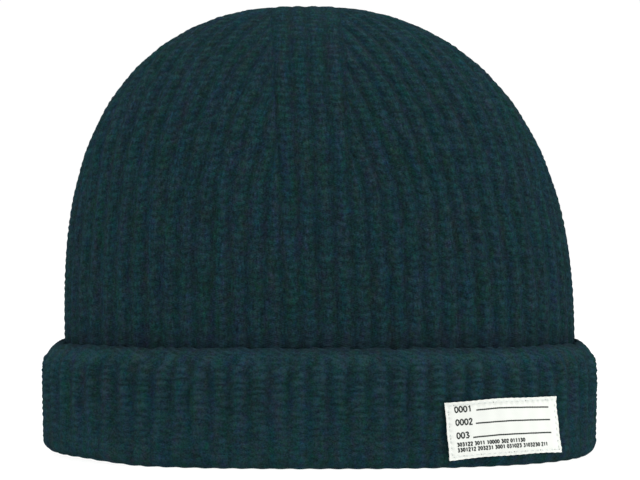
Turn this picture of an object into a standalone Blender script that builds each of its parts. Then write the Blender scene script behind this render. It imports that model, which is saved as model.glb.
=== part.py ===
"""A rib-knit beanie with a turned-up cuff and a small cloth label, standing on the fold of its cuff.

The knit is one continuous wall, as on the real hat. It starts at the drawn-in tip of the crown, runs down the
dome, turns under at the rim and comes back up outside itself as the cuff. It is lofted as an open sheet of
rings through the middle of the knit, with a groove and a crest for each rib, and Solidify gives it its
thickness. Towards the tip the ribs end on eight decrease lines, so each ring there has fewer ribs than the
one below it.

Frame: +Z up, origin on the ground under the middle of the cuff, front towards -Y, wearer's left towards +X.
Sizes are in metres.
"""

from collections import namedtuple
from math import cos, pi, radians, sin

import bmesh
import bpy
import numpy as np

# Overall sizes, over the crests of the ribs
HAT_HEIGHT = 0.1701
CUFF_WIDTH = 0.210
CUFF_DEPTH = 0.116
CUFF_HEIGHT = 0.042

# The knit
KNIT_THICKNESS = 0.0038
RIB_HEIGHT = 0.0016  # from the bottom of a groove to the crest of a rib
HEM_THICKNESS = 0.0019  # the rounded edge of the knit, at the top of the cuff

# How the two layers of the cuff lie
FOLD_INNER_RADIUS = 0.0007
FOOT_FLAT = 0.0028  # flat of the fold between its two bends, where the hat rests
HEM_GAP = 0.0003  # between the hem and the crown's ribs
PRESSED_FLAT = 0.0003  # what lies this near the ground is pressed onto it
RIM_LIFT = 0.0016  # how far the rim's -X end stands off the ground
RIM_LIFT_REACH = 0.045  # from that end to where the rim leaves the ground
RIM_LIFT_RAMP = 0.030  # how far on it is fully raised

# The form of the crown
CROWN_LEAN = 0.0055  # how far the tip leans towards -X
CROWN_PEAK = 2.25  # exponent of the dome's breadth in its outline, where 2 is an ellipse's round top
CROWN_SHOULDER = 2.63  # exponent of its height, where more is fuller low down
PLAN_SQUARENESS = 2.5  # exponent of the oval seen from above
LEAN_GROWTH = 1.5  # the lean grows with this power of the height
TIP_DIMPLE = 0.0005  # how far the drawn-in tip sinks

# The knitting pattern. Four columns of ribs run on to the tip, and the ribs between them end beside these.
FRONT_COLUMN_RIBS = 4  # the back column has as many
SIDE_COLUMN_RIBS = 2
DECREASE_ROUNDS = 8
LINES_PER_ROUND = 8  # two beside each column
COLUMNS_PER_RIB = 2  # a groove and a crest
RIB_COUNT = 2 * (FRONT_COLUMN_RIBS + SIDE_COLUMN_RIBS) + LINES_PER_ROUND * DECREASE_ROUNDS

# The label
LABEL_WIDTH = 0.0440
LABEL_HEIGHT = 0.0200
LABEL_THICKNESS = 0.0008
LABEL_GAP = 0.0003  # between the label and the crests of the cuff's ribs
LABEL_FROM_SIDE = 0.0696  # from the cuff's +X end to the label's middle, along the cuff
LABEL_RISE = 0.0136  # from the ground to the label's middle
LABEL_TILT = radians(1.3)  # how much its long edges rise towards +X
LABEL_SLANT = radians(5.0)  # how much its short edges slant, up and towards the front's middle
LABEL_CELLS = (14, 6)  # across and up

# Colours, linear
KNIT_COLOUR = (0.0100, 0.0262, 0.0320, 1.0)
LABEL_COLOUR = (0.92, 0.95, 0.90, 1.0)

HALF_KNIT = KNIT_THICKNESS / 2
STAND_OFF = KNIT_THICKNESS + 2 * FOLD_INNER_RADIUS + FOOT_FLAT  # middle of the wall to that of the cuff
HEM_STAND_OFF = HALF_KNIT + RIB_HEIGHT / 2 + HEM_GAP + HEM_THICKNESS / 2
FOLD_RADIUS = HALF_KNIT + FOLD_INNER_RADIUS
FOLD_RELIEF = 0.5  # share of the ribs' height where the fold begins and ends
FOLD_STEPS = 2
PLAN_SAMPLES = 2881
SMOOTH_BELOW = radians(50)  # edges sharper than this are shaded sharp
KNIT_ROUGHNESS = 0.95
LABEL_ROUGHNESS = 0.85

# The turned-up layer from the fold to the hem. rise: share of the way from the top of the bend to the hem.
# stand: 1 at the full stand-off and 0 at the hem's. body: 1 at the knit's thickness and 0 at the hem's.
# relief: share of the ribs' height.
CuffRow = namedtuple("CuffRow", "rise stand body relief")
CUFF_ROWS = (
    CuffRow(rise=0.60, stand=1.00, body=1.0, relief=0.9),
    CuffRow(rise=0.84, stand=0.86, body=0.9, relief=0.6),
    CuffRow(rise=0.95, stand=0.46, body=0.6, relief=0.4),
    CuffRow(rise=1.00, stand=0.00, body=0.0, relief=0.2),
)
FULLEST_CUFF_RELIEF = max(row.relief for row in CUFF_ROWS)

# The crown below its first decrease. up: share of the crown's height above the cuff.
CROWN_ROWS = (0.0, 0.24, 0.42)
# The drawn-in tip. size: share of the last decrease ring. sink: share of the dimple. relief: share of the
# ribs' height.
TipRow = namedtuple("TipRow", "size sink relief")
TIP_ROWS = (
    TipRow(size=0.22, sink=0.80, relief=0.3),
    TipRow(size=0.60, sink=0.15, relief=0.8),
)

WALL_HALF_WIDTH = CUFF_WIDTH / 2 - FULLEST_CUFF_RELIEF * RIB_HEIGHT / 2 - HALF_KNIT - STAND_OFF
WALL_HALF_DEPTH = WALL_HALF_WIDTH - (CUFF_WIDTH - CUFF_DEPTH) / 2
DOME_TOP = HAT_HEIGHT - HALF_KNIT - RIB_HEIGHT / 2

# A ring of the knit's middle: the oval's half sizes, its middle's x, its height, how many decrease rounds
# have been worked there, and its shares of the ribs' height and of the knit's body.
Ring = namedtuple("Ring", "half_width half_depth middle height rounds relief body")


def dome_ring(size, up, rounds, relief=1.0, sink=0.0):
    """A ring of the crown, of this share of the wall's oval, at this share of the crown's height."""
    height = CUFF_HEIGHT + (DOME_TOP - CUFF_HEIGHT) * up - sink
    return Ring(WALL_HALF_WIDTH * size, WALL_HALF_DEPTH * size, -CROWN_LEAN * up**LEAN_GROWTH,
                height, rounds, relief, 1.0)


def dome_up(size):
    """The share of the crown's height at which the dome is this share of its full size."""
    return (1 - size**CROWN_PEAK) ** (1 / CROWN_SHOULDER)


def dome_size(up):
    """The share of its full size that the dome has at this share of the crown's height."""
    return (1 - up**CROWN_SHOULDER) ** (1 / CROWN_PEAK)


def crown_rings():
    """From the tip down to the top of the cuff, with a ring for each decrease round."""
    tip_size = ribs_left(DECREASE_ROUNDS) / RIB_COUNT
    rings = [
        dome_ring(tip_size * row.size, dome_up(tip_size * row.size), DECREASE_ROUNDS, row.relief,
                  TIP_DIMPLE * row.sink)
        for row in TIP_ROWS
    ]
    for rounds in range(DECREASE_ROUNDS, 0, -1):
        size = ribs_left(rounds) / RIB_COUNT
        rings.append(dome_ring(size, dome_up(size), rounds))
    rings += [dome_ring(dome_size(up), up, 0) for up in reversed(CROWN_ROWS)]
    return rings


def layer_ring(stand_off, height, relief, body=1.0):
    """A ring of the wall or the cuff, this far out from the middle of the wall."""
    return Ring(WALL_HALF_WIDTH + stand_off, WALL_HALF_DEPTH + stand_off, 0.0, height, 0, relief, body)


def fold_rings():
    """The turn at the rim: down the inner bend, across the flat foot and up the outer bend."""
    rings = []
    for step in range(FOLD_STEPS + 1):
        turn = pi / 2 * step / FOLD_STEPS
        out = FOLD_RADIUS * (1 - cos(turn))
        height = HALF_KNIT + FOLD_RADIUS * (1 - sin(turn))
        rings.append((out, height, FOLD_RELIEF * cos(turn)))
    down = [layer_ring(out, height, relief) for out, height, relief in rings]
    up = [layer_ring(STAND_OFF - out, height, relief) for out, height, relief in reversed(rings)]
    return down + up


def cuff_rings():
    """The turned-up layer, from the top of the outer bend to the hem, which leans in to the crown."""
    start = HALF_KNIT + FOLD_RADIUS
    top = CUFF_HEIGHT - HEM_THICKNESS / 2
    return [
        layer_ring(HEM_STAND_OFF + (STAND_OFF - HEM_STAND_OFF) * row.stand, start + (top - start) * row.rise,
                   row.relief, row.body)
        for row in CUFF_ROWS
    ]


def ribs_left(rounds):
    """How many ribs a ring has after so many decrease rounds."""
    return RIB_COUNT - LINES_PER_ROUND * rounds


def knit_columns(rounds):
    """The columns of the full ring that are left after so many decrease rounds, from the front groove on.

    Column 2q is the groove before rib q and column 2q + 1 is its crest. Each round ends one rib on each side
    of the four columns, with the groove that follows it.
    """
    quarter = RIB_COUNT // 4
    half_front, half_side = FRONT_COLUMN_RIBS // 2, SIDE_COLUMN_RIBS // 2
    ended = set()
    for side, half in enumerate((half_front, half_side, half_front, half_side)):
        middle = side * quarter
        for done in range(rounds):
            for rib in (middle + half + done, middle - half - 1 - done):
                crest = rib % RIB_COUNT * COLUMNS_PER_RIB + 1
                ended |= {crest, (crest + 1) % (RIB_COUNT * COLUMNS_PER_RIB)}
    return [column for column in range(RIB_COUNT * COLUMNS_PER_RIB) if column not in ended]


def oval_points(half_width, half_depth, shares):
    """Points at these shares of an oval's length, from its front towards +X, and that length."""
    angle = np.linspace(0, 2 * pi, PLAN_SAMPLES)
    across, ahead = np.abs(np.sin(angle) / half_width), np.abs(np.cos(angle) / half_depth)
    reach = (across**PLAN_SQUARENESS + ahead**PLAN_SQUARENESS) ** (-1 / PLAN_SQUARENESS)
    x, y = reach * np.sin(angle), -reach * np.cos(angle)
    run = np.concatenate([[0], np.cumsum(np.hypot(np.diff(x), np.diff(y)))])
    shares = np.asarray(shares) * run[-1]
    return np.interp(shares, run, x), np.interp(shares, run, y), run[-1]


def rim_lift(x, height):
    """How far a place on the hat is raised by the lift of the rim's -X end, less and less up to the cuff's top."""
    share = min(max((RIM_LIFT_REACH - CUFF_WIDTH / 2 - x) / RIM_LIFT_RAMP, 0.0), 1.0)
    return RIM_LIFT * share * share * (3 - 2 * share) * max(1 - height / CUFF_HEIGHT, 0.0)


def add_ring(mesh, ring):
    """Adds a ring's vertices, evenly spaced along its oval, and returns them by column."""
    columns = knit_columns(ring.rounds)
    shares = np.arange(len(columns)) / len(columns)
    x, y, _ = oval_points(ring.half_width, ring.half_depth, shares)
    vertices = [
        mesh.verts.new((ring.middle + px, py, ring.height + rim_lift(ring.middle + px, ring.height)))
        for px, py in zip(x, y)
    ]
    return dict(zip(columns, vertices))


def join_rings(mesh, inner, outer):
    """Lofts one ring to the next. Where ribs end, the columns that stop run into the groove before them."""
    kept, longer = list(inner), list(outer)
    places = {column: place for place, column in enumerate(longer)}
    for first, second in zip(kept, kept[1:] + kept[:1]):
        here, there = places[first], places[second] or len(longer)
        for place in range(here, there - 1):
            mesh.faces.new((outer[longer[place]], outer[longer[place + 1]], inner[first]))
        mesh.faces.new((outer[longer[there - 1]], outer[second], inner[second], inner[first]))


def close_tip(mesh, ring, first):
    """Closes the sheet with a fan to the middle of its smallest ring, sunk by what is left of the dimple."""
    sunk = TIP_DIMPLE * (1 - TIP_ROWS[0].sink)
    middle = mesh.verts.new((ring.middle, 0, ring.height - sunk))
    around = list(first.values())
    for one, other in zip(around, around[1:] + around[:1]):
        mesh.faces.new((one, other, middle))


def raise_ribs(rings, placed):
    """Moves crests out and grooves in, along the smooth sheet's normals."""
    moves = []
    for ring, vertices in zip(rings, placed):
        for column, vertex in vertices.items():
            way = 1 if column % COLUMNS_PER_RIB else -1
            moves.append((vertex, vertex.normal * way * ring.relief * RIB_HEIGHT / 2))
    for vertex, move in moves:
        vertex.co += move


def make_material(name, colour, roughness):
    """A plain matt cloth finish."""
    material = bpy.data.materials.new(name)
    material.use_nodes = True
    shader = material.node_tree.nodes["Principled BSDF"]
    shader.inputs["Base Color"].default_value = colour
    shader.inputs["Roughness"].default_value = roughness
    shader.inputs["Metallic"].default_value = 0.0
    material.diffuse_color = colour
    return material


def place_object(name, mesh, material, collection):
    """An object of this mesh and material in the hat's collection, shaded smooth but for its edges."""
    thing = bpy.data.objects.new(name, mesh)
    mesh.materials.clear()
    mesh.materials.append(material)
    mesh.shade_smooth()
    mesh.set_sharp_from_angle(angle=SMOOTH_BELOW)
    collection.objects.link(thing)
    return thing


def solid_mesh(sheet, thickness, weights=None, thinnest=1.0):
    """The closed mesh that Solidify makes of an open sheet, as thick on both of its sides."""
    thing = bpy.data.objects.new("sheet", sheet)
    bpy.context.scene.collection.objects.link(thing)
    solidify = thing.modifiers.new("Thickness", "SOLIDIFY")
    solidify.thickness = thickness
    solidify.offset = 0.0
    solidify.use_quality_normals = True
    if weights is not None:
        group = thing.vertex_groups.new(name="body")
        for index, weight in enumerate(weights):
            group.add([index], weight, "REPLACE")
        solidify.vertex_group = group.name
        solidify.thickness_vertex_group = thinnest
    bpy.context.view_layer.update()
    closed = bpy.data.meshes.new_from_object(thing.evaluated_get(bpy.context.evaluated_depsgraph_get()))
    bpy.data.objects.remove(thing)
    bpy.data.meshes.remove(sheet)
    return closed


def press_onto_ground(mesh):
    """Flattens the underside of the fold where the hat rests on it."""
    for vertex in mesh.vertices:
        if vertex.co.z < PRESSED_FLAT:
            vertex.co.z = 0.0


def make_knit_cap(collection):
    """Crown, wall, fold and cuff as one knitted wall."""
    rings = crown_rings() + fold_rings() + cuff_rings()
    mesh = bmesh.new()
    placed = [add_ring(mesh, ring) for ring in rings]
    for inner, outer in zip(placed, placed[1:]):
        join_rings(mesh, inner, outer)
    close_tip(mesh, rings[0], placed[0])
    mesh.normal_update()
    raise_ribs(rings, placed)
    sheet = bpy.data.meshes.new("knit_sheet")
    mesh.to_mesh(sheet)
    mesh.free()
    bodies = [ring.body for ring, vertices in zip(rings, placed) for _ in vertices] + [1.0]
    closed = solid_mesh(sheet, KNIT_THICKNESS, bodies, HEM_THICKNESS / KNIT_THICKNESS)
    press_onto_ground(closed)
    closed.name = "knit_cap"
    material = make_material("rib_knit", KNIT_COLOUR, KNIT_ROUGHNESS)
    return place_object("knit_cap", closed, material, collection)


def make_label(collection):
    """The cloth label, bent round the cuff over the crests of its ribs."""
    mesh = bmesh.new()
    bmesh.ops.create_grid(mesh, x_segments=LABEL_CELLS[0], y_segments=LABEL_CELLS[1], size=0.5)
    stand_off = (STAND_OFF + HALF_KNIT + FULLEST_CUFF_RELIEF * RIB_HEIGHT / 2 + LABEL_GAP
                 + LABEL_THICKNESS / 2)
    half_width, half_depth = WALL_HALF_WIDTH + stand_off, WALL_HALF_DEPTH + stand_off
    *_, length = oval_points(half_width, half_depth, [0])
    for vertex in mesh.verts:
        across, up = vertex.co.x * LABEL_WIDTH, vertex.co.y * LABEL_HEIGHT
        along = length / 4 - LABEL_FROM_SIDE + across * cos(LABEL_TILT) - up * sin(LABEL_SLANT)
        x, y, _ = oval_points(half_width, half_depth, [along / length])
        vertex.co = x[0], y[0], LABEL_RISE + across * sin(LABEL_TILT) + up * cos(LABEL_SLANT)
    sheet = bpy.data.meshes.new("label_sheet")
    mesh.to_mesh(sheet)
    mesh.free()
    closed = solid_mesh(sheet, LABEL_THICKNESS)
    closed.name = "label"
    material = make_material("label_cloth", LABEL_COLOUR, LABEL_ROUGHNESS)
    return place_object("label", closed, material, collection)


def main():
    for thing in list(bpy.data.objects):
        bpy.data.objects.remove(thing)
    collection = bpy.data.collections.new("rib_knit_beanie")
    bpy.context.scene.collection.children.link(collection)
    make_knit_cap(collection)
    make_label(collection)


main()
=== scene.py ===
"""The looks of a rib-knit beanie with a turned-up cuff and a small sewn label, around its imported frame.

The knit is one cloth with two faces. It runs from the drawn-in tip of the crown down the wall, turns under
at the rim and comes back up outside itself as the cuff. Each knitted piece here is a fine skin over one
stretch of one face, with every stitch in its mesh. The label has its cloth, its sewing thread and its print.

Frame: +Z up, origin on the ground under the middle of the cuff, front towards -Y. Sizes are in metres.
"""

import logging
import math
from dataclasses import dataclass
from enum import Enum
from functools import cached_property, partial, reduce

import bpy
import numpy as np
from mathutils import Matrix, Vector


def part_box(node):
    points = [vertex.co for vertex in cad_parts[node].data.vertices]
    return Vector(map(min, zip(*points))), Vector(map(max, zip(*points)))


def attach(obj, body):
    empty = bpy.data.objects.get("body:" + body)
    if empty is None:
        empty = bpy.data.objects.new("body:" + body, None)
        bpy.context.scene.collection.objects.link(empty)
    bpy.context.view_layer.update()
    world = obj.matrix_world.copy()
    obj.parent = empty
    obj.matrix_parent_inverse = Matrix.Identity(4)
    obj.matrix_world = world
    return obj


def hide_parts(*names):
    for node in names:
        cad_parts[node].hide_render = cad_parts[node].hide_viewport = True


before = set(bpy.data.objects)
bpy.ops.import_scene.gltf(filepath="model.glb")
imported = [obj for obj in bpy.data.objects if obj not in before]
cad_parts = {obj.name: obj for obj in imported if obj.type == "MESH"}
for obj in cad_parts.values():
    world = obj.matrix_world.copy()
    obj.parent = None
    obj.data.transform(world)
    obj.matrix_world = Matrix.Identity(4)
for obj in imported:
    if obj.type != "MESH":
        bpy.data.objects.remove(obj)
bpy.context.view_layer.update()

LOG = logging.getLogger("beanie")
BODY = "root"
KNIT_NODE = "knit_cap"
LABEL_NODE = "label"
UV_LAYER = "Cloth"

Array = np.ndarray
Material = bpy.types.Material
Object = bpy.types.Object
Node = bpy.types.Node
Socket = bpy.types.NodeSocket
Sockets = dict[str, Socket]
Inputs = dict[str | int, object]
Colour = tuple[float, float, float, float]
Point = tuple[float, float, float]
Span = tuple[float, float]
Bead = tuple[float, float, bool]
Stroke = tuple[list[Span], float]

WHITE = (1.0, 1.0, 1.0, 1.0)
FULL_TURN = 2 * math.pi
LIP_STRANDS = 1.5  # strands of the cuff's smooth edge over one rib
LIP_SLOPE = 1.35  # and over one course
RED_DYE = (1.5, -0.40, 0.0)  # how a redder fibre differs from the rest, at the same lightness
BLUE_DYE = (0.0, -0.18, 0.9)  # and a bluer one


class Face(Enum):
    """The two faces of the knitted cloth, by the way they look from its middle along its normals."""

    CROWN_OUTSIDE = 1
    CUFF_OUTSIDE = -1


class Slot(Enum):
    """The record's material slots."""

    KNIT = "rib_knit"
    LABEL = "label_cloth"


class Kind(Enum):
    """What a socket of a node group carries."""

    NUMBER = "NodeSocketFloat"
    COLOUR = "NodeSocketColor"
    VECTOR = "NodeSocketVector"


# Arrays and meshes


def smooth_step(value: Array, low: float, high: float) -> Array:
    """Rises smoothly from 0 at low to 1 at high, or falls towards low where high is the lower one."""
    share = np.clip((value - low) / (high - low), 0.0, 1.0)
    return share * share * (3.0 - 2.0 * share)


def unit(vectors: Array) -> Array:
    """The same directions with a length of 1. Those without a length stay 0."""
    return vectors / np.maximum(np.linalg.norm(vectors, axis=-1, keepdims=True), 1e-12)


def by_row(values: Array) -> Array:
    """One number for each row, for arrays by row, rib and column."""
    return values[:, None, None]


def joined(first: "Rows | Faces", second: "Rows | Faces") -> "Rows | Faces":
    """Puts two records of arrays together, with each of the second's arrays after the first's."""
    pairs = zip(vars(first).values(), vars(second).values())
    return type(first)(*(np.concatenate(pair) for pair in pairs))


def write_mesh(name: str, points: Array, corners: Array, counts: Array, uvs: Array | None = None) -> Object:
    """Makes a smooth-shaded object from plain arrays.

    Args:
        name: The piece's name.
        points: Vertices, one row each.
        corners: The vertex of each face corner, face after face.
        counts: How many corners each face has.
        uvs: A pair of texture coordinates for each corner, or None.

    Returns:
        The new object, linked to the scene.
    """
    mesh = bpy.data.meshes.new(name)
    mesh.vertices.add(len(points))
    mesh.vertices.foreach_set("co", np.asarray(points, np.float32).ravel())
    mesh.loops.add(len(corners))
    mesh.loops.foreach_set("vertex_index", np.asarray(corners, np.int32))
    mesh.polygons.add(len(counts))
    starts = np.concatenate([[0], np.cumsum(counts)[:-1]])
    mesh.polygons.foreach_set("loop_start", starts.astype(np.int32))
    if uvs is not None:
        layer = mesh.uv_layers.new(name=UV_LAYER)
        layer.uv.foreach_set("vector", np.asarray(uvs, np.float32).ravel())
    mesh.update(calc_edges=True)
    mesh.validate()
    mesh.shade_smooth()
    piece = bpy.data.objects.new(name, mesh)
    bpy.context.scene.collection.objects.link(piece)
    return piece


def write_quads(name: str, points: Array, quads: Array, uvs: Array | None = None) -> Object:
    """Makes an object whose faces all have four corners, with texture coordinates for each vertex or None."""
    corners = quads.reshape(-1)
    return write_mesh(name, points, corners, np.full(len(quads), 4), None if uvs is None else uvs[corners])


def fit_piece(piece: Object, material: Material, node: str) -> None:
    """Dresses a piece and fixes it to the hat.

    Args:
        piece: The object, in place.
        material: Its finish.
        node: The solid that the piece stands for.
    """
    piece.data.materials.append(material)
    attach(piece, BODY)
    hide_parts(node)
    LOG.info("%s: %d vertices, %d faces", piece.name, len(piece.data.vertices), len(piece.data.polygons))


# Shader graphs


class Graph:
    """A shader node tree that is being filled in."""

    def __init__(self, tree: bpy.types.NodeTree) -> None:
        """Keeps the tree."""
        self.tree = tree

    def fill(self, node: Node, inputs: Inputs) -> Node:
        """Sets or joins a node's inputs.

        Args:
            node: The node.
            inputs: Values, or sockets to join, by the name or place of its inputs.

        Returns:
            The same node.
        """
        for key, value in inputs.items():
            if isinstance(value, Socket):
                self.tree.links.new(value, node.inputs[key])
            else:
                node.inputs[key].default_value = value
        return node

    def add(self, kind: str, inputs: Inputs | None = None, **settings: object) -> Node:
        """Adds a node.

        Args:
            kind: Its type, such as ShaderNodeTexNoise.
            inputs: Values, or sockets to join, by the name or place of its inputs.
            settings: Its own properties.

        Returns:
            The node.
        """
        node = self.tree.nodes.new(kind)
        for key, value in settings.items():
            setattr(node, key, value)
        return self.fill(node, inputs or {})

    def math(self, operation: str, *values: object) -> Socket:
        """Adds a Math node of these numbers or sockets and gives its result."""
        return self.add("ShaderNodeMath", dict(enumerate(values)), operation=operation).outputs["Value"]

    def times(self, *values: object) -> Socket:
        """The product of numbers or sockets."""
        return reduce(partial(self.math, "MULTIPLY"), values)

    def plus(self, *values: object) -> Socket:
        """The sum of numbers or sockets."""
        return reduce(partial(self.math, "ADD"), values)

    def less(self, value: object, other: object) -> Socket:
        """A number or socket less another."""
        return self.math("SUBTRACT", value, other)

    def cosine(self, turns: Socket) -> Socket:
        """The cosine of a number of full turns."""
        return self.math("COSINE", self.times(turns, FULL_TURN))

    def vector(self, operation: str, *values: object) -> Socket:
        """Adds a Vector Math node and gives its vector. The last of the values of SCALE is its number."""
        inputs = dict(zip((0, "Scale") if operation == "SCALE" else (0, 1), values))
        return self.add("ShaderNodeVectorMath", inputs, operation=operation).outputs["Vector"]

    def moved(self, place: Socket, away: float) -> Socket:
        """The same coordinates moved along, where a noise has other spots."""
        return self.vector("ADD", place, (away, away, away))

    def parts(self, place: Socket) -> list[Socket]:
        """The X, Y and Z of coordinates."""
        return list(self.add("ShaderNodeSeparateXYZ", {0: place}).outputs)

    def joint(self, x: Socket, y: Socket) -> Socket:
        """Coordinates from their X and Y."""
        return self.add("ShaderNodeCombineXYZ", {"X": x, "Y": y}).outputs["Vector"]

    def band(self, value: Socket, low: float, high: float) -> Socket:
        """A smooth step of a socket, from 0 at low to 1 at high."""
        inputs = {"Value": value, "From Min": low, "From Max": high}
        return self.add("ShaderNodeMapRange", inputs, interpolation_type="SMOOTHSTEP").outputs["Result"]

    def spread(self, value: Socket, low: float, high: float) -> Socket:
        """Maps a socket from 0 to 1 onto low to high."""
        inputs = {"Value": value, "To Min": low, "To Max": high}
        return self.add("ShaderNodeMapRange", inputs).outputs["Result"]

    def noise(self, place: Socket, scale: object, detail: float = 2.0) -> Socket:
        """Soft noise from 0 to 1, with so many spots for each unit and so many octaves of finer ones."""
        inputs = {"Vector": place, "Scale": scale, "Detail": detail, "Roughness": 0.6}
        return self.add("ShaderNodeTexNoise", inputs).outputs["Fac"]

    def swing(self, noise: Socket, size: object) -> Socket:
        """A noise made to swing around 0, and scaled."""
        return self.times(self.less(noise, 0.5), size)

    def mix(self, share: object, first: object, second: object) -> Socket:
        """Mixes two colours, with this share of the second."""
        return self.add("ShaderNodeMix", {0: share, 6: first, 7: second}, data_type="RGBA").outputs[2]


class NodeGroup:
    """A named shader node group, made once and placed in as many materials as use it."""

    name = "group"
    takes: dict[Kind, tuple[str, ...]] = {}
    gives: dict[Kind, tuple[str, ...]] = {}

    def wire(self, graph: Graph, given: Sockets) -> Sockets:
        """Fills the group in from its inputs, and gives its outputs. Each kind of group has its own."""
        raise NotImplementedError

    def tree(self) -> bpy.types.NodeTree:
        """The group's tree, made the first time that it is asked for.

        Returns:
            The tree.
        """
        tree = bpy.data.node_groups.get(self.name)
        if tree is None:
            tree = bpy.data.node_groups.new(self.name, "ShaderNodeTree")
            for way, kinds in (("INPUT", self.takes), ("OUTPUT", self.gives)):
                for label, kind in [(label, kind) for kind, labels in kinds.items() for label in labels]:
                    tree.interface.new_socket(label, in_out=way, socket_type=kind.value)
            graph = Graph(tree)
            given = {socket.name: socket for socket in graph.add("NodeGroupInput").outputs}
            graph.add("NodeGroupOutput", self.wire(graph, given))
        return tree

    def place(self, graph: Graph, inputs: Inputs) -> Sockets:
        """Places the group in a material with these inputs, and gives its outputs there, by name."""
        node = graph.add("ShaderNodeGroup", node_tree=self.tree())
        return dict(graph.fill(node, inputs).outputs.items())


class HeatherGroup(NodeGroup):
    """Mottled yarn: two depths of the main colour, flecks of two others, and dyes that vary by fibre.

    Levels are the noise's values where a mask starts and where it is full. Grains are finenesses next to the
    strands' own. The numbers that coordinates are moved by only give each noise other spots.
    """

    name = "heather"
    takes = {
        Kind.VECTOR: ("Place", "Cell", "Stitches"),
        Kind.COLOUR: ("Deep", "Bright", "Cool Fleck", "Warm Fleck"),
        Kind.NUMBER: ("Strand Scale", "Fleck Share", "Stitch Scatter", "Fibre Contrast", "Hue Scatter"),
    }
    gives = {Kind.COLOUR: ("Colour",)}
    strand_levels = (0.36, 0.64)
    patch_levels = (0.3, 0.7)
    fleck_levels = (0.48, 0.66)
    strand_share = 0.85
    patch_share = 0.15
    patch_grain = 0.05
    fibre_grain = 1.7
    flecks = (("Cool Fleck", 0.42, 3.1), ("Warm Fleck", 0.50, 7.7))
    dye_columns = (2.1, 0.13, 1.0)

    def wire(self, graph: Graph, given: Sockets) -> Sockets:
        """Fills the group in.

        Args:
            graph: The group's tree.
            given: The group's inputs, by name.

        Returns:
            The group's outputs, by name.
        """
        place, scale = given["Place"], given["Strand Scale"]
        strands = graph.band(graph.noise(place, scale, 3.0), *self.strand_levels)
        patches = graph.band(graph.noise(place, graph.times(scale, self.patch_grain)), *self.patch_levels)
        depth = graph.plus(graph.times(strands, self.strand_share), graph.times(patches, self.patch_share))
        yarn = graph.mix(depth, given["Deep"], given["Bright"])
        for label, grain, away in self.flecks:
            spots = graph.noise(graph.moved(place, away), graph.times(scale, grain))
            share = graph.times(graph.band(spots, *self.fleck_levels), given["Fleck Share"])
            yarn = graph.mix(share, yarn, given[label])
        cell = graph.vector("FLOOR", given["Cell"])
        chance = graph.add("ShaderNodeTexWhiteNoise", {"Vector": cell}).outputs["Value"]
        stitch = graph.swing(chance, given["Stitch Scatter"])
        fine = graph.noise(place, graph.times(scale, self.fibre_grain), 1.0)
        tone = graph.plus(stitch, graph.swing(fine, given["Fibre Contrast"]), 1.0)
        dyed = self.dyed(graph, given, graph.vector("SCALE", yarn, tone))
        return {"Colour": graph.vector("MAXIMUM", dyed, (0.0, 0.0, 0.0))}

    def dyed(self, graph: Graph, given: Sockets, yarn: Socket) -> Socket:
        """Turns the yarn redder or bluer from fibre to fibre, strand to strand and column to column.

        Args:
            graph: The group's tree.
            given: The group's inputs, by name.
            yarn: The yarn's colour.

        Returns:
            The dyed colour.
        """
        place, scale = given["Place"], given["Strand Scale"]
        columns = graph.vector("MULTIPLY", given["Stitches"], self.dye_columns)
        layers = (
            (graph.moved(place, 1.7), graph.times(scale, 0.9), 0.5),
            (graph.moved(place, 5.3), graph.times(scale, 0.3), 0.8),
            (graph.moved(columns, 8.9), 1.0, 0.9),
        )
        for spots, grain, weight in layers:
            noise = graph.add("ShaderNodeTexNoise", {"Vector": spots, "Scale": grain})
            amounts = graph.add("ShaderNodeSeparateColor", {0: noise.outputs["Color"]}).outputs
            tint = (0.0, 0.0, 0.0)
            for channel, dye in (("Red", RED_DYE), ("Blue", BLUE_DYE)):
                amount = graph.swing(amounts[channel], weight)
                tint = graph.vector("ADD", graph.vector("SCALE", dye, amount), tint)
            tint = graph.moved(graph.vector("SCALE", tint, given["Hue Scatter"]), 1.0)
            yarn = graph.vector("MULTIPLY", yarn, tint)
        return yarn


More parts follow.
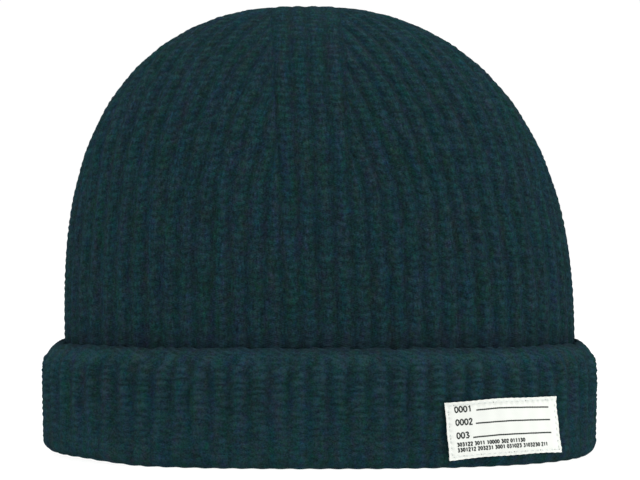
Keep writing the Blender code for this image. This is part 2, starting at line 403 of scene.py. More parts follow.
class StitchGroup(NodeGroup):
    """Masks of the knit, from coordinates that count ribs across and courses from the tip.

    Each pair of numbers is the value where a mask starts and the one where it is full. Of the reach, 0 is the
    rib's middle line and 1 the groove. Of the wave, 1 is the middle of a stitch and -1 the place between two.
    A grain is the fineness of the noise that breaks a mask up. Groove and Between mark where shade is
    painted, and Lip, Streak and Dash where highlights are painted.
    """

    name = "stitches"
    takes = {
        Kind.VECTOR: ("Stitches",),
        Kind.NUMBER: ("Tilt", "Lip Start", "Plies", "Grain Across", "Grain Along"),
    }
    gives = {
        Kind.NUMBER: ("Groove", "Between", "Lip", "Streak", "Ply", "Dash", "Grain"),
        Kind.VECTOR: ("Cell",),
    }
    groove_reach = (0.42, 0.95)
    crest_reach = (0.75, 0.35)
    between_wave = (-0.1, -1.0)
    between_least = 0.65
    dash_wave = (-0.2, 1.0)
    dash_highlight_gap_levels = (0.38, 0.60)
    patchy_levels = (0.36, 0.6)
    strand_highlight_gap_levels = (0.42, 0.62)
    strand_wave = (-0.3, 1.0)
    lip_blend = (-0.35, 0.45)
    lip_raggedness = 2.2
    lip_grain = 1.6
    strand_highlight_gap_grain = 1.1
    dash_highlight_gap_grain = 2.3
    patchy_grain = 1.3
    ply_slant = 1.6
    leg_slant = 1.4

    def wire(self, graph: Graph, given: Sockets) -> Sockets:
        """Fills the group in.

        Args:
            graph: The group's tree.
            given: The group's inputs, by name.

        Returns:
            The group's outputs, by name.
        """
        cloth = given["Stitches"]
        across, course, _ = graph.parts(cloth)
        side = graph.less(graph.times(graph.math("FRACT", across), 2.0), 1.0)
        reach = graph.math("ABSOLUTE", side)
        phase = graph.plus(course, graph.times(reach, given["Tilt"]))
        wave = graph.cosine(phase)
        slant = graph.less(graph.times(phase, self.ply_slant), graph.times(reach, self.leg_slant))
        ply = graph.cosine(graph.times(slant, given["Plies"]))
        leg = graph.plus(graph.math("FLOOR", across), graph.times(graph.math("SIGN", side), 0.25))
        ragged = graph.swing(graph.noise(cloth, self.lip_grain), self.lip_raggedness)
        lip = graph.band(graph.plus(graph.less(course, given["Lip Start"]), ragged), *self.lip_blend)
        plain = graph.less(1.0, lip)
        slope = graph.plus(graph.times(across, LIP_STRANDS), graph.times(course, LIP_SLOPE))
        # Breaks in the painted highlight on the lip's strands.
        strand_highlight_gaps = graph.band(graph.noise(cloth, self.strand_highlight_gap_grain, 3.0), *self.strand_highlight_gap_levels)
        strand = graph.times(graph.band(graph.cosine(slope), *self.strand_wave), strand_highlight_gaps)
        crest = graph.times(graph.band(reach, *self.crest_reach), plain)
        # Breaks in the painted highlight on the stitches' dashes.
        dash_highlight_gaps = graph.band(graph.noise(cloth, self.dash_highlight_gap_grain), *self.dash_highlight_gap_levels)
        patchy = graph.band(graph.noise(cloth, self.patchy_grain), *self.patchy_levels)
        patchy = graph.spread(patchy, self.between_least, 1.0)
        grain_x = graph.times(across, given["Grain Across"])
        grain_y = graph.times(course, given["Grain Along"])
        return {
            "Groove": graph.times(graph.band(reach, *self.groove_reach), plain),
            "Between": graph.times(graph.band(wave, *self.between_wave), patchy),
            "Lip": lip,
            "Streak": graph.times(strand, lip),
            "Ply": graph.plus(graph.times(ply, 0.5), 0.5),
            "Dash": graph.times(graph.band(wave, *self.dash_wave), crest, dash_highlight_gaps),
            "Grain": graph.noise(graph.joint(grain_x, grain_y), 1.0),
            "Cell": graph.joint(graph.times(leg, 4.0), graph.plus(phase, 0.5)),
        }


class FuzzGroup(NodeGroup):
    """The uneven height of fine loose fibres, bent by a coarser noise."""

    name = "fuzz"
    takes = {Kind.VECTOR: ("Place",), Kind.NUMBER: ("Scale",)}
    gives = {Kind.NUMBER: ("Height",)}
    bend_grain = 0.4
    bend = 0.0012

    def wire(self, graph: Graph, given: Sockets) -> Sockets:
        """Fills the group in.

        Args:
            graph: The group's tree.
            given: The group's inputs, by name.

        Returns:
            The group's outputs, by name.
        """
        place, scale = given["Place"], given["Scale"]
        coarse = {"Vector": place, "Scale": graph.times(scale, self.bend_grain)}
        away = graph.add("ShaderNodeTexNoise", coarse).outputs["Color"]
        bent = graph.vector("ADD", place, graph.vector("SCALE", away, self.bend))
        return {"Height": graph.noise(bent, scale, 4.0)}


class WeaveGroup(NodeGroup):
    """A plain weave, from coordinates in metres along the cloth."""

    name = "plain_weave"
    takes = {Kind.VECTOR: ("Cloth",), Kind.NUMBER: ("Threads",)}
    gives = {Kind.NUMBER: ("Height",)}

    def wire(self, graph: Graph, given: Sockets) -> Sockets:
        """Fills the group in.

        Args:
            graph: The group's tree.
            given: The group's inputs, by name.

        Returns:
            The group's outputs, by name.
        """
        axes = graph.parts(given["Cloth"])[:2]
        waves = [graph.math("SINE", graph.times(axis, given["Threads"], math.pi)) for axis in axes]
        return {"Height": graph.plus(graph.times(*waves, 0.5), 0.5)}


class Surface(Graph):
    """A material that is being made, with a Principled BSDF."""

    def __init__(self, name: str, constants: Inputs) -> None:
        """Starts the material.

        Args:
            name: Its name.
            constants: Values for the shader's own sockets.
        """
        self.material = bpy.data.materials.new(name)
        self.material.use_nodes = True
        super().__init__(self.material.node_tree)
        self.shader = self.fill(self.tree.nodes["Principled BSDF"], constants)
        self.place = self.add("ShaderNodeTexCoord").outputs["Object"]

    def cloth(self) -> Socket:
        """The coordinates along the cloth."""
        return self.add("ShaderNodeUVMap", uv_map=UV_LAYER).outputs["UV"]

    def fuzz(self, scale: float) -> Socket:
        """The height of loose fibres of some fineness."""
        return FuzzGroup().place(self, {"Place": self.place, "Scale": scale})["Height"]

    def bump(self, height: Socket, strength: float, depth: float) -> Socket:
        """A normal from a height, with how much of it shows and its full depth in metres."""
        inputs = {"Height": height, "Strength": strength, "Distance": depth}
        return self.add("ShaderNodeBump", inputs).outputs["Normal"]

    def finished(self, **sockets: Socket) -> Material:
        """Joins sockets to the shader's inputs, named with underscores, and gives the finished material."""
        self.fill(self.shader, {key.replace("_", " "): socket for key, socket in sockets.items()})
        return self.material


# Finishes


@dataclass(frozen=True)
class WoolFinish:
    """Matt heathered wool, knitted.

    The grain is of streaks along the ribs. One colour is painted as shade in the grooves, between the
    stitches and by the hem, and one as highlights on the stitches' dashes, on the lip and on its strands. The
    two heights of the painted hem shade are where that shade is none and where it is full; fading's are where
    the painted shade in the grooves and the painted highlights on the dashes set in and where they are full.
    """

    name: str
    tilt: float
    tone: float
    groove_shade: float
    between_shade: float
    dash_light: float
    grain_across: float
    grain_along: float
    grain_contrast: float
    painted_hem_shade: Span
    painted_hem_shade_depth: float
    lip_start: float = 1000.0
    fading: Span = (-0.0200, -0.0100)
    deep: Colour = (0.0035, 0.0140, 0.0167, 1.0)
    bright: Colour = (0.0105, 0.0302, 0.0372, 1.0)
    cool_fleck: Colour = (0.0121, 0.0258, 0.0444, 1.0)
    warm_fleck: Colour = (0.0068, 0.0325, 0.0255, 1.0)
    # The colour of the painted shade in the grooves, between the stitches and by the hem.
    hollow: Colour = (0.0058, 0.0080, 0.0122, 1.0)
    # The colour of the painted highlights on the stitches' dashes, on the lip and on its strands.
    streak: Colour = (0.0186, 0.0440, 0.0550, 1.0)
    sheen_tint: Colour = (0.45, 0.75, 0.85, 1.0)
    plies: float = 2.0
    strand_scale: float = 1500.0
    fleck_share: float = 0.35
    stitch_scatter: float = 0.3
    fibre_contrast: float = 1.2
    hue_scatter: float = 1.15
    fuzz_scale: float = 2200.0
    stray_scale: float = 700.0
    stray: float = 0.004
    least_clear: float = 0.3
    streak_light: float = 0.35
    lip_light: float = 0.01
    roughness: Span = (0.8, 1.0)
    ply_height: float = 0.25
    fuzz_height: float = 0.9
    bump_strength: float = 0.7
    bump_depth: float = 0.0005

    def values(self, group: type[NodeGroup]) -> Inputs:
        """What the fields of the same names say for a group's colours and numbers."""
        labels = (*group.takes.get(Kind.COLOUR, ()), *group.takes[Kind.NUMBER])
        return {label: getattr(self, label.lower().replace(" ", "_")) for label in labels}

    def material(self) -> Material:
        """Builds the material.

        Returns:
            The material.
        """
        surface = Surface(self.name, {
            "Metallic": 0.0,
            "Specular IOR Level": 0.0,
            "Sheen Weight": 0.012,
            "Sheen Roughness": 0.8,
            "Sheen Tint": self.sheen_tint,
        })
        cloth = surface.cloth()
        knit = StitchGroup().place(surface, {"Stitches": cloth} | self.values(StitchGroup))
        places = {"Place": surface.place, "Cell": knit["Cell"], "Stitches": cloth}
        heather = HeatherGroup().place(surface, places | self.values(HeatherGroup))
        tone = surface.plus(surface.swing(knit["Grain"], self.grain_contrast), self.tone)
        yarn = surface.vector("SCALE", heather["Colour"], tone)
        fuzz = surface.fuzz(self.fuzz_scale)
        plies = surface.times(knit["Ply"], self.ply_height)
        height = surface.plus(plies, surface.times(fuzz, self.fuzz_height))
        return surface.finished(
            Base_Color=self.shaded(surface, knit, yarn),
            Roughness=surface.spread(fuzz, *self.roughness),
            Normal=surface.bump(height, self.bump_strength, self.bump_depth),
        )

    def shaded(self, surface: Surface, knit: Sockets, yarn: Socket) -> Socket:
        """Paints shade in the grooves, between stitches and by the hem, and highlights on the lip, its
        strands and the dashes.

        Args:
            surface: The material in the making.
            knit: The masks of the knit, by name.
            yarn: The yarn's colour.

        Returns:
            The colour of the cloth.
        """
        height = surface.parts(surface.place)[2]
        clear = surface.spread(surface.band(height, *self.fading), self.least_clear, 1.0)
        # Painted shade by the hem, its edge made ragged by a fine noise.
        stray = surface.swing(surface.noise(surface.place, self.stray_scale), self.stray)
        painted_hem_shade = surface.band(surface.plus(height, stray), *self.painted_hem_shade)
        # Painted shade in the grooves, between the stitches and by the hem.
        groove = surface.times(knit["Groove"], self.groove_shade, clear)
        between = surface.times(knit["Between"], self.between_shade)
        shade = surface.math("MAXIMUM", groove, between)
        shade = surface.math("MAXIMUM", shade, surface.times(painted_hem_shade, self.painted_hem_shade_depth))
        # Painted highlights on the lip, on its strands and on the stitches' dashes.
        streak = surface.times(knit["Streak"], self.streak_light)
        dash = surface.times(knit["Dash"], self.dash_light, clear)
        light = surface.plus(surface.times(knit["Lip"], self.lip_light), streak, dash)
        return surface.mix(light, surface.mix(shade, yarn, self.hollow), self.streak)


@dataclass(frozen=True)
class TapeFinish:
    """White plain-woven cotton tape, with stains and with shade painted into the weave's hollows."""

    name: str = "white_woven_tape"
    colour: Colour = (0.625, 0.645, 0.606, 1.0)
    # The colour of the stains and of the painted shade in the weave's hollows.
    shade: Colour = (0.48, 0.51, 0.49, 1.0)
    threads: float = 2600.0
    fuzz_scale: float = 1500.0
    stain_scale: float = 160.0
    stain_levels: Span = (0.5, 0.85)
    stain: float = 0.10
    hollow_levels: Span = (0.35, 0.0)
    hollow: float = 0.22
    roughness: Span = (0.7, 0.95)
    weave_height: float = 0.7
    fuzz_height: float = 0.4
    bump_strength: float = 0.35
    bump_depth: float = 0.00015

    def material(self) -> Material:
        """Builds the material.

        Returns:
            The material.
        """
        surface = Surface(self.name, {"Metallic": 0.0, "Specular IOR Level": 0.25, "Sheen Weight": 0.1})
        weave = WeaveGroup().place(surface, {"Cloth": surface.cloth(), "Threads": self.threads})["Height"]
        fuzz = surface.fuzz(self.fuzz_scale)
        stain = surface.band(surface.noise(surface.place, self.stain_scale, 3.0), *self.stain_levels)
        # Painted shade in the weave's hollows, added to the real stains.
        hollow = surface.times(surface.band(weave, *self.hollow_levels), self.hollow)
        shade = surface.plus(hollow, surface.times(stain, self.stain))
        threads = surface.times(weave, self.weave_height)
        height = surface.plus(threads, surface.times(fuzz, self.fuzz_height))
        return surface.finished(
            Base_Color=surface.mix(shade, self.colour, self.shade),
            Roughness=surface.spread(fuzz, *self.roughness),
            Normal=surface.bump(height, self.bump_strength, self.bump_depth),
        )


@dataclass(frozen=True)
class StrandFinish:
    """A plain finish with a little fuzz, for sewing thread and ink."""

    name: str
    colour: Colour
    second: Colour
    scale: float
    roughness: float
    levels: Span = (0.35, 0.7)
    bump_strength: float = 0.3
    bump_depth: float = 0.0001

    def material(self) -> Material:
        """Builds the material.

        Returns:
            The material.
        """
        constants = {"Metallic": 0.0, "Roughness": self.roughness, "Specular IOR Level": 0.3}
        surface = Surface(self.name, constants)
        fuzz = surface.fuzz(self.scale)
        colour = surface.mix(surface.band(fuzz, *self.levels), self.colour, self.second)
        normal = surface.bump(fuzz, self.bump_strength, self.bump_depth)
        return surface.finished(Base_Color=colour, Normal=normal)


@dataclass(frozen=True)
class FloorFinish:
    """A plain white ground, lit from below as on a light table, so that it takes hardly any shadow."""

    name: str = "white_ground"
    colour: Colour = (0.10, 0.10, 0.10, 1.0)
    second: Colour = (0.11, 0.11, 0.11, 1.0)
    glow: float = 0.95
    patches: float = 6.0

    def material(self) -> Material:
        """Builds the material.

        Returns:
            The material.
        """
        surface = Surface(self.name, {
            "Metallic": 0.0,
            "Roughness": 0.9,
            "Specular IOR Level": 0.1,
            "Emission Color": WHITE,
            "Emission Strength": self.glow,
        })
        patches = surface.noise(surface.place, self.patches)
        return surface.finished(Base_Color=surface.mix(patches, self.colour, self.second))


# The form of the hat


@dataclass(frozen=True)
class Line:
    """Samples of the knit's middle surface down one line, from the tip to the hem.

    Each field is an array with one number for each sample: the oval's half sizes, its middle's x, its height,
    its share of the wall's oval, half the knit's thickness, the share of the ribs' height, and the courses
    knitted and the length run so far.
    """

    half_width: Array
    half_depth: Array
    middle: Array
    height: Array
    size: Array
    half_knit: Array
    relief: Array
    course: Array
    run: Array

    def at(self, runs: Array) -> "Line":
        """The same samples at other lengths of run, one for each."""
        return Line(*(np.interp(runs, self.run, values) for values in vars(self).values()))


@dataclass(frozen=True)
class HatForm:
    """The hat's sizes and the points of its middle surface. The overall sizes come from the frame.

    A relief is a share of the ribs' height. A part is a pair of shares between which something sets in.
    """

    height: float
    cuff_width: float
    cuff_depth: float
    cuff_height: float = 0.042
    knit_thickness: float = 0.0038
    rib_height: float = 0.0016
    fold_inner_radius: float = 0.0007
    foot_flat: float = 0.0028
    hem_thickness: float = 0.0019
    hem_gap: float = 0.0003
    hem_lean_start: float = 0.6
    hem_lean_power: int = 4
    hem_thinning_power: float = 4.5
    top_thinning: float = 0.0005
    crown_lean: float = 0.0055
    crown_peak: float = 2.25
    crown_shoulder: float = 2.63
    lean_growth: float = 1.5
    tip_angle: float = 0.0005
    tip_dimple: float = 0.0005
    dimple_power: float = 1.8
    plan_squareness: float = 2.5
    rim_lift: float = 0.0016
    rim_lift_reach: float = 0.045
    rim_lift_ramp: float = 0.030
    lip_height: float = 0.0052
    crown_relief: float = 0.8
    high_relief_loss: float = 0.1
    high_part: Span = (0.80, 0.97)
    tip_relief: float = 0.25
    tip_part: Span = (0.06, 0.34)
    wall_foot_relief: float = 0.7
    inner_bend_loss: float = 0.55
    outer_bend_loss: float = 0.40
    cuff_foot_relief: float = 0.55
    cuff_relief_gain: float = 0.55
    cuff_gain_part: Span = (0.0, 0.62)
    cuff_smooth_part: Span = (0.84, 0.90)
    fullest_cuff_relief: float = 0.9
    ribs: int = 76
    decrease_rounds: int = 8
    lines_per_round: int = 8
    crown_course: float = 0.00285
    cuff_course: float = 0.0026
    crown_samples: int = 900
    wall_samples: int = 120
    bend_samples: int = 60
    cuff_samples: int = 400
    plan_samples: int = 1441
    least_step: float = 1e-9
    run_digits: int = 6

    @classmethod
    def from_frame(cls) -> "HatForm":
        """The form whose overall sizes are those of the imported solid."""
        low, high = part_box(KNIT_NODE)
        return cls(high.z - low.z + cls.top_thinning, high.x - low.x, high.y - low.y)

    @property
    def half_knit(self) -> float:
        """Half the knit's thickness."""
        return self.knit_thickness / 2

    @property
    def stand_off(self) -> float:
        """From the middle of the wall to that of the cuff."""
        return self.knit_thickness + 2 * self.fold_inner_radius + self.foot_flat

    @property
    def hem_stand_off(self) -> float:
        """From the middle of the wall to that of the hem."""
        return self.half_knit + self.rib_height / 2 + self.hem_gap + self.hem_thickness / 2

    @property
    def fold_radius(self) -> float:
        """Radius of the knit's middle in the fold's two bends."""
        return self.half_knit + self.fold_inner_radius

    @property
    def cuff_relief_height(self) -> float:
        """How far the fullest ribs of the cuff stand over its even face."""
        return self.fullest_cuff_relief * self.rib_height / 2

    @property
    def wall_half_width(self) -> float:
        """Half the width of the wall's middle surface."""
        return self.cuff_width / 2 - self.cuff_relief_height - self.half_knit - self.stand_off

    @property
    def wall_half_depth(self) -> float:
        """Half the depth of the wall's middle surface."""
        return self.wall_half_width - (self.cuff_width - self.cuff_depth) / 2

    @property
    def dome_top(self) -> float:
        """Height of the middle surface at the tip, without its dimple."""
        return self.height - self.half_knit - self.rib_height / 2

    @property
    def fold_start(self) -> float:
        """Height where the wall meets the fold's inner bend."""
        return self.half_knit + self.fold_radius

    @property
    def lip_start(self) -> float:
        """The course where the smooth edge of the cuff begins."""
        return float(self.line.course[-1]) - self.lip_height / self.cuff_course

    @property
    def tip_size(self) -> float:
        """Share of the wall's oval at the last decrease."""
        return self.size_after(self.decrease_rounds)

    def size_after(self, rounds: int) -> float:
        """Share of the wall's oval where so many decrease rounds have been worked."""
        return 1 - self.lines_per_round * rounds / self.ribs

    def crown_stretch(self) -> list[Array]:
        """The dome's stations, from the tip to the top of the cuff.

        Returns:
            The oval's half sizes, middle, height, size, half thickness and relief at each station.
        """
        turn = np.linspace(math.pi / 2 - self.tip_angle, 0, self.crown_samples)
        size = np.cos(turn) ** (2 / self.crown_peak)
        up = np.sin(turn) ** (2 / self.crown_shoulder)
        sink = self.tip_dimple * np.clip(1 - size / self.tip_size, 0, 1) ** self.dimple_power
        height = self.cuff_height + (self.dome_top - self.cuff_height) * up - sink
        middle = -self.crown_lean * up**self.lean_growth
        tip = self.tip_relief + (1 - self.tip_relief) * smooth_step(size, *self.tip_part)
        relief = tip * (self.crown_relief - self.high_relief_loss * smooth_step(up, *self.high_part))
        return [self.wall_half_width * size, self.wall_half_depth * size, middle, height, size,
                np.full(len(turn), self.half_knit), relief]

    def layer_stretch(self, out: Array, height: Array, half_knit: Array | float,
                      relief: Array) -> list[Array]:
        """The rows that crown_stretch gives, for stations so far out from the middle of the wall."""
        plain = np.ones(len(out))
        return [self.wall_half_width + out, self.wall_half_depth + out, 0 * plain, height, plain,
                half_knit * plain, relief]

    def wall_stretch(self) -> list[Array]:
        """Stations of the wall, from the top of the cuff down to the fold.

        Returns:
            The same rows as crown_stretch gives.
        """
        height = np.linspace(self.cuff_height, self.fold_start, self.wall_samples)
        relief = np.linspace(1, self.wall_foot_relief, self.wall_samples)
        return self.layer_stretch(0 * height, height, self.half_knit, relief)

    def fold_stretch(self) -> list[Array]:
        """Stations of the turn at the rim, down the inner bend, over the foot and up the outer bend.

        Returns:
            The same rows as crown_stretch gives.
        """
        turn = np.linspace(0, math.pi / 2, self.bend_samples)
        out = self.fold_radius * (1 - np.cos(turn))
        height = self.half_knit + self.fold_radius * (1 - np.sin(turn))
        inner = self.wall_foot_relief - self.inner_bend_loss * np.sin(turn)
        outer = self.cuff_foot_relief - self.outer_bend_loss * np.sin(turn[::-1])
        return self.layer_stretch(np.concatenate([out, self.stand_off - out[::-1]]),
                                  np.concatenate([height, height[::-1]]), self.half_knit,
                                  np.concatenate([inner, outer]))

    def cuff_stretch(self) -> list[Array]:
        """Stations of the turned-up layer, from the outer bend to the hem, which leans in to the crown.

        Returns:
            The same rows as crown_stretch gives.
        """
        rise = np.linspace(0, 1, self.cuff_samples)
        lean = np.clip((rise - self.hem_lean_start) / (1 - self.hem_lean_start), 0, 1)
        thin = self.hem_thickness / 2
        out = self.hem_stand_off + (self.stand_off - self.hem_stand_off) * (1 - lean**self.hem_lean_power)
        height = self.fold_start + (self.cuff_height - thin - self.fold_start) * rise
        half_knit = thin + (self.half_knit - thin) * (1 - lean**self.hem_thinning_power)
        grown = self.cuff_foot_relief + self.cuff_relief_gain * smooth_step(rise, *self.cuff_gain_part)
        relief = grown * (1 - smooth_step(rise, *self.cuff_smooth_part))
        return self.layer_stretch(out, height, half_knit, relief)

    @cached_property
    def line(self) -> Line:
        """The whole line, from the tip to the hem.

        Returns:
            Its samples.
        """
        parts = (self.crown_stretch(), self.wall_stretch(), self.fold_stretch(), self.cuff_stretch())
        rows = [np.concatenate(part) for part in zip(*parts)]
        width, depth, _, height = rows[:4]
        step = np.hypot(np.diff((width + depth) / 2), np.diff(height))
        run = np.concatenate([[0], np.cumsum(step)])
        in_cuff = run >= run[-self.cuff_samples]
        pitch = np.where(in_cuff, self.cuff_course, self.crown_course)
        course = np.concatenate([[0], np.cumsum(step / pitch[1:])])
        keep = np.concatenate([[True], step > self.least_step])
        return Line(*(row[keep] for row in (*rows, course, run)))

    def oval(self, half_width: float, half_depth: float, shares: Array) -> tuple[Array, Array]:
        """Points at these shares of an oval's length, from its front towards +X.

        Args:
            half_width: Half its size along X.
            half_depth: Half its size along Y.
            shares: The shares.

        Returns:
            Their x and y.
        """
        angle = np.linspace(0, FULL_TURN, self.plan_samples)
        power = self.plan_squareness
        sine, cosine = np.sin(angle), np.cos(angle)
        reach = (np.abs(sine / half_width) ** power + np.abs(cosine / half_depth) ** power) ** (-1 / power)
        x, y = reach * sine, -reach * cosine
        run = np.concatenate([[0], np.cumsum(np.hypot(np.diff(x), np.diff(y)))])
        wanted = np.asarray(shares) * run[-1]
        return np.interp(wanted, run, x), np.interp(wanted, run, y)

    def oval_length(self, half_width: float, half_depth: float) -> float:
        """The length of an oval, from its half sizes along X and Y."""
        x, y = self.oval(half_width, half_depth, np.linspace(0, 1, self.plan_samples))
        return float(np.hypot(np.diff(x), np.diff(y)).sum())

    def rim_rise(self, x: Array, height: float) -> Array:
        """How far the lift of the rim's -X end raises places at this height.

        Args:
            x: Their x.
            height: Their height before.

        Returns:
            The rises in metres.
        """
        leaves = self.rim_lift_reach - self.cuff_width / 2
        share = smooth_step(x, leaves, leaves - self.rim_lift_ramp)
        return self.rim_lift * share * max(1 - height / self.cuff_height, 0)

    def field(self, line: Line) -> tuple[Array, Array, Array]:
        """The middle surface on an even grid. Rows at the same run, as over the hem, share their directions.

        Args:
            line: One station for each row of the grid.

        Returns:
            Points, normals that point out of the crown, and ways towards the hem, by row and share.
        """
        shares = np.linspace(0, 1, self.plan_samples)
        points = np.empty((len(line.run), len(shares), 3))
        for row, (width, depth) in enumerate(zip(line.half_width, line.half_depth)):
            x, y = self.oval(width, depth, shares)
            points[row, :, 0] = x + line.middle[row]
            points[row, :, 1] = y
            points[row, :, 2] = line.height[row] + self.rim_rise(points[row, :, 0], line.height[row])
        run = np.round(line.run, self.run_digits)
        runs, first, back = np.unique(run, return_index=True, return_inverse=True)
        down = np.gradient(points[first], runs, axis=0)[back]
        around = np.empty_like(points)
        around[:, 1:-1] = points[:, 2:] - points[:, :-2]
        around[:, 0] = around[:, -1] = points[:, 1] - points[:, -2]
        return points, unit(np.cross(down, around)), unit(down)


@dataclass(frozen=True)
class RibLayout:
    """Where the ribs run. Four columns run on to the tip, and the ribs between them end beside these."""

    form: HatForm
    front_column: int = 4
    side_column: int = 2
    first_taper: float = 0.9494
    wander: float = 0.05
    slow_pace: float = 4.3
    quick_pace: float = 1.9
    quick_share: float = 0.5
    seed: int = 7

    def ending_round(self) -> Array:
        """For each rib, the decrease round that ends it, or 0 if it runs on to the tip.

        Returns:
            The rounds by rib.
        """
        rounds = np.zeros(self.form.ribs, int)
        quarter = self.form.ribs // 4
        halves = (self.front_column // 2, self.side_column // 2) * 2
        for side, half in enumerate(halves):
            for done in range(self.form.decrease_rounds):
                for rib in (side * quarter + half + done, side * quarter - half - 1 - done):
                    rounds[rib % self.form.ribs] = done + 1
        return rounds

    def widths(self, size: Array) -> Array:
        """Each rib's width, as a share of a whole rib.

        Args:
            size: Each row's share of the wall's oval.

        Returns:
            Widths from 0 to 1, by row and rib.
        """
        rounds = self.ending_round()
        ends = np.array([self.form.size_after(r) for r in rounds])
        starts = np.array([self.form.size_after(r - 1) if r > 1 else self.first_taper for r in rounds])
        share = np.clip((size[:, None] - ends) / (starts - ends), 0, 1)
        return np.where(rounds == 0, 1.0, share)

    def edges(self, widths: Array, course: Array) -> Array:
        """The groove before each rib, as a share of its row, and the last rib's end.

        Args:
            widths: Each rib's width by row and rib.
            course: Each row's course.

        Returns:
            Shares by row and groove.
        """
        total = widths.sum(axis=1, keepdims=True)
        edges = np.concatenate([np.zeros((len(widths), 1)), np.cumsum(widths, axis=1)], axis=1) / total
        draw = np.random.default_rng(self.seed)
        phase = draw.uniform(0, FULL_TURN, (2, self.form.ribs))
        slow = np.sin(course[:, None] / self.slow_pace + phase[0])
        quick = np.sin(course[:, None] / self.quick_pace + phase[1])
        sway = (slow + self.quick_share * quick) * self.wander / total
        sway[:, [0, self.form.ribs // 2]] = 0
        edges[:, :-1] += sway * np.minimum(widths, np.roll(widths, 1, axis=1)) ** 2
        return edges


@dataclass(frozen=True)
class Stitch:
    """The relief of one rib: two legs to each stitch, which meet in a V on the rib's middle line.

    A part is a pair of reaches or courses between which something sets in.
    """

    rib_height: float
    tilt: float
    leg_depth: float
    crease_depth: float
    bump_depth: float
    uneven: float
    leg_power: float = 0.8
    leg_middle: float = 0.55
    legs_end: Span = (0.45, 0.85)
    purl_part: Span = (0.6, 0.95)
    crease_width: float = 0.15
    lip_depth: float = 0.00024
    lip_power: float = 1.5
    lip_middle: float = 0.4
    lip_part: Span = (-0.1, 0.3)
    hem_wave: float = 0.00045
    hem_reach: float = 0.0030
    hem_loops: int = 3
    seed: int = 11

    def scatter(self, course: Array, ribs: int) -> tuple[Array, Array]:
        """Small differences between stitches.

        Args:
            course: Each row's course.
            ribs: How many ribs there are.

        Returns:
            How far each row's stitches are shifted, in courses, and how deep they are, by row and rib.
        """
        draw = np.random.default_rng(self.seed)
        count = int(np.ceil(course.max())) + 3
        shift = draw.normal(0, self.uneven * 0.5, (ribs, count)) + draw.uniform(0, 1, (ribs, 1))
        depth = draw.normal(1, self.uneven, (ribs, count))
        knots = np.arange(count)
        shifts, depths = (np.stack([np.interp(course, knots, row) for row in rows], axis=1)
                          for rows in (shift, depth))
        return shifts, depths

    def hem(self, around: Array, to_hem: Array, ribs: int) -> Array:
        """How far the loops along the hem stand past it.

        Args:
            around: The place around the hat, counted in ribs.
            to_hem: How much of the line is left before the hem, in metres, by row.
            ribs: How many ribs there are.

        Returns:
            Lengths along the line, by row and place.
        """
        knots = self.hem_loops * ribs
        draw = np.random.default_rng(self.seed + 1)
        loops = np.clip(draw.normal(0, self.hem_wave, knots), -2 * self.hem_wave, 2 * self.hem_wave)
        spot = around * self.hem_loops
        below = np.floor(spot).astype(int)
        share = smooth_step(spot - below, 0.0, 1.0)
        wave = loops[below % knots] * (1 - share) + loops[(below + 1) % knots] * share
        return wave * by_row(smooth_step(to_hem, self.hem_reach, 0.0))

    def ribbed(self, reach: Array, course: Array, depth: Array) -> Array:
        """Height of plain ribbing over the knit's face.

        Args:
            reach: 0 on the rib's middle line and 1 in the groove.
            course: The course, with its scatter.
            depth: The stitches' depth, around 1.

        Returns:
            Heights in metres, around 0.
        """
        crest = 0.5 * np.cos(np.pi * reach)
        wave = 0.5 + 0.5 * np.cos((course + self.tilt * reach) * FULL_TURN)
        leg = wave**self.leg_power - self.leg_middle
        inside = 1 - smooth_step(reach, *self.legs_end)
        crease = np.exp(-((reach / self.crease_width) ** 2))
        purl = (0.5 - 0.5 * np.cos(course * FULL_TURN)) * smooth_step(reach, *self.purl_part)
        return (self.rib_height * crest + self.leg_depth * depth * leg * inside
                - self.crease_depth * crease + self.bump_depth * purl)

    def lip(self, around: Array, course: Array) -> Array:
        """Height of the smooth edge's slanting strands, by the ribs around the hat and the course."""
        wave = 0.5 + 0.5 * np.cos((LIP_STRANDS * around + LIP_SLOPE * course) * FULL_TURN)
        return self.lip_depth * (wave**self.lip_power - self.lip_middle)


@dataclass(frozen=True)
class Rows:
    """The rows of a knitted skin.

    Each field is an array with one number for each row: the length run down the line, how the row leans from
    the middle surface along its normal and along its line, and the share of the full relief.
    """

    run: Array
    out: Array
    along: Array
    relief: Array

    @classmethod
    def on_face(cls, run: Array, face: Face, relief: float = 1.0) -> "Rows":
        """Rows that lie on one face of the knit, at these runs and with this share of the full relief."""
        plain = np.ones(len(run))
        return cls(run, face.value * plain, 0 * plain, relief * plain)


@dataclass(frozen=True)
class Columns:
    """The columns of a knitted skin: the ribs that it covers, and the columns' shares across each of them."""

    ribs: Array
    across: Array

    @property
    def around(self) -> Array:
        """The columns' places around the hat, counted in ribs."""
        return self.ribs[None, :, None] + self.across


@dataclass(frozen=True)
class Faces:
    """A mesh's faces: their corners, how many each has, and the corners' texture coordinates."""

    corners: Array
    counts: Array
    cloth: Array


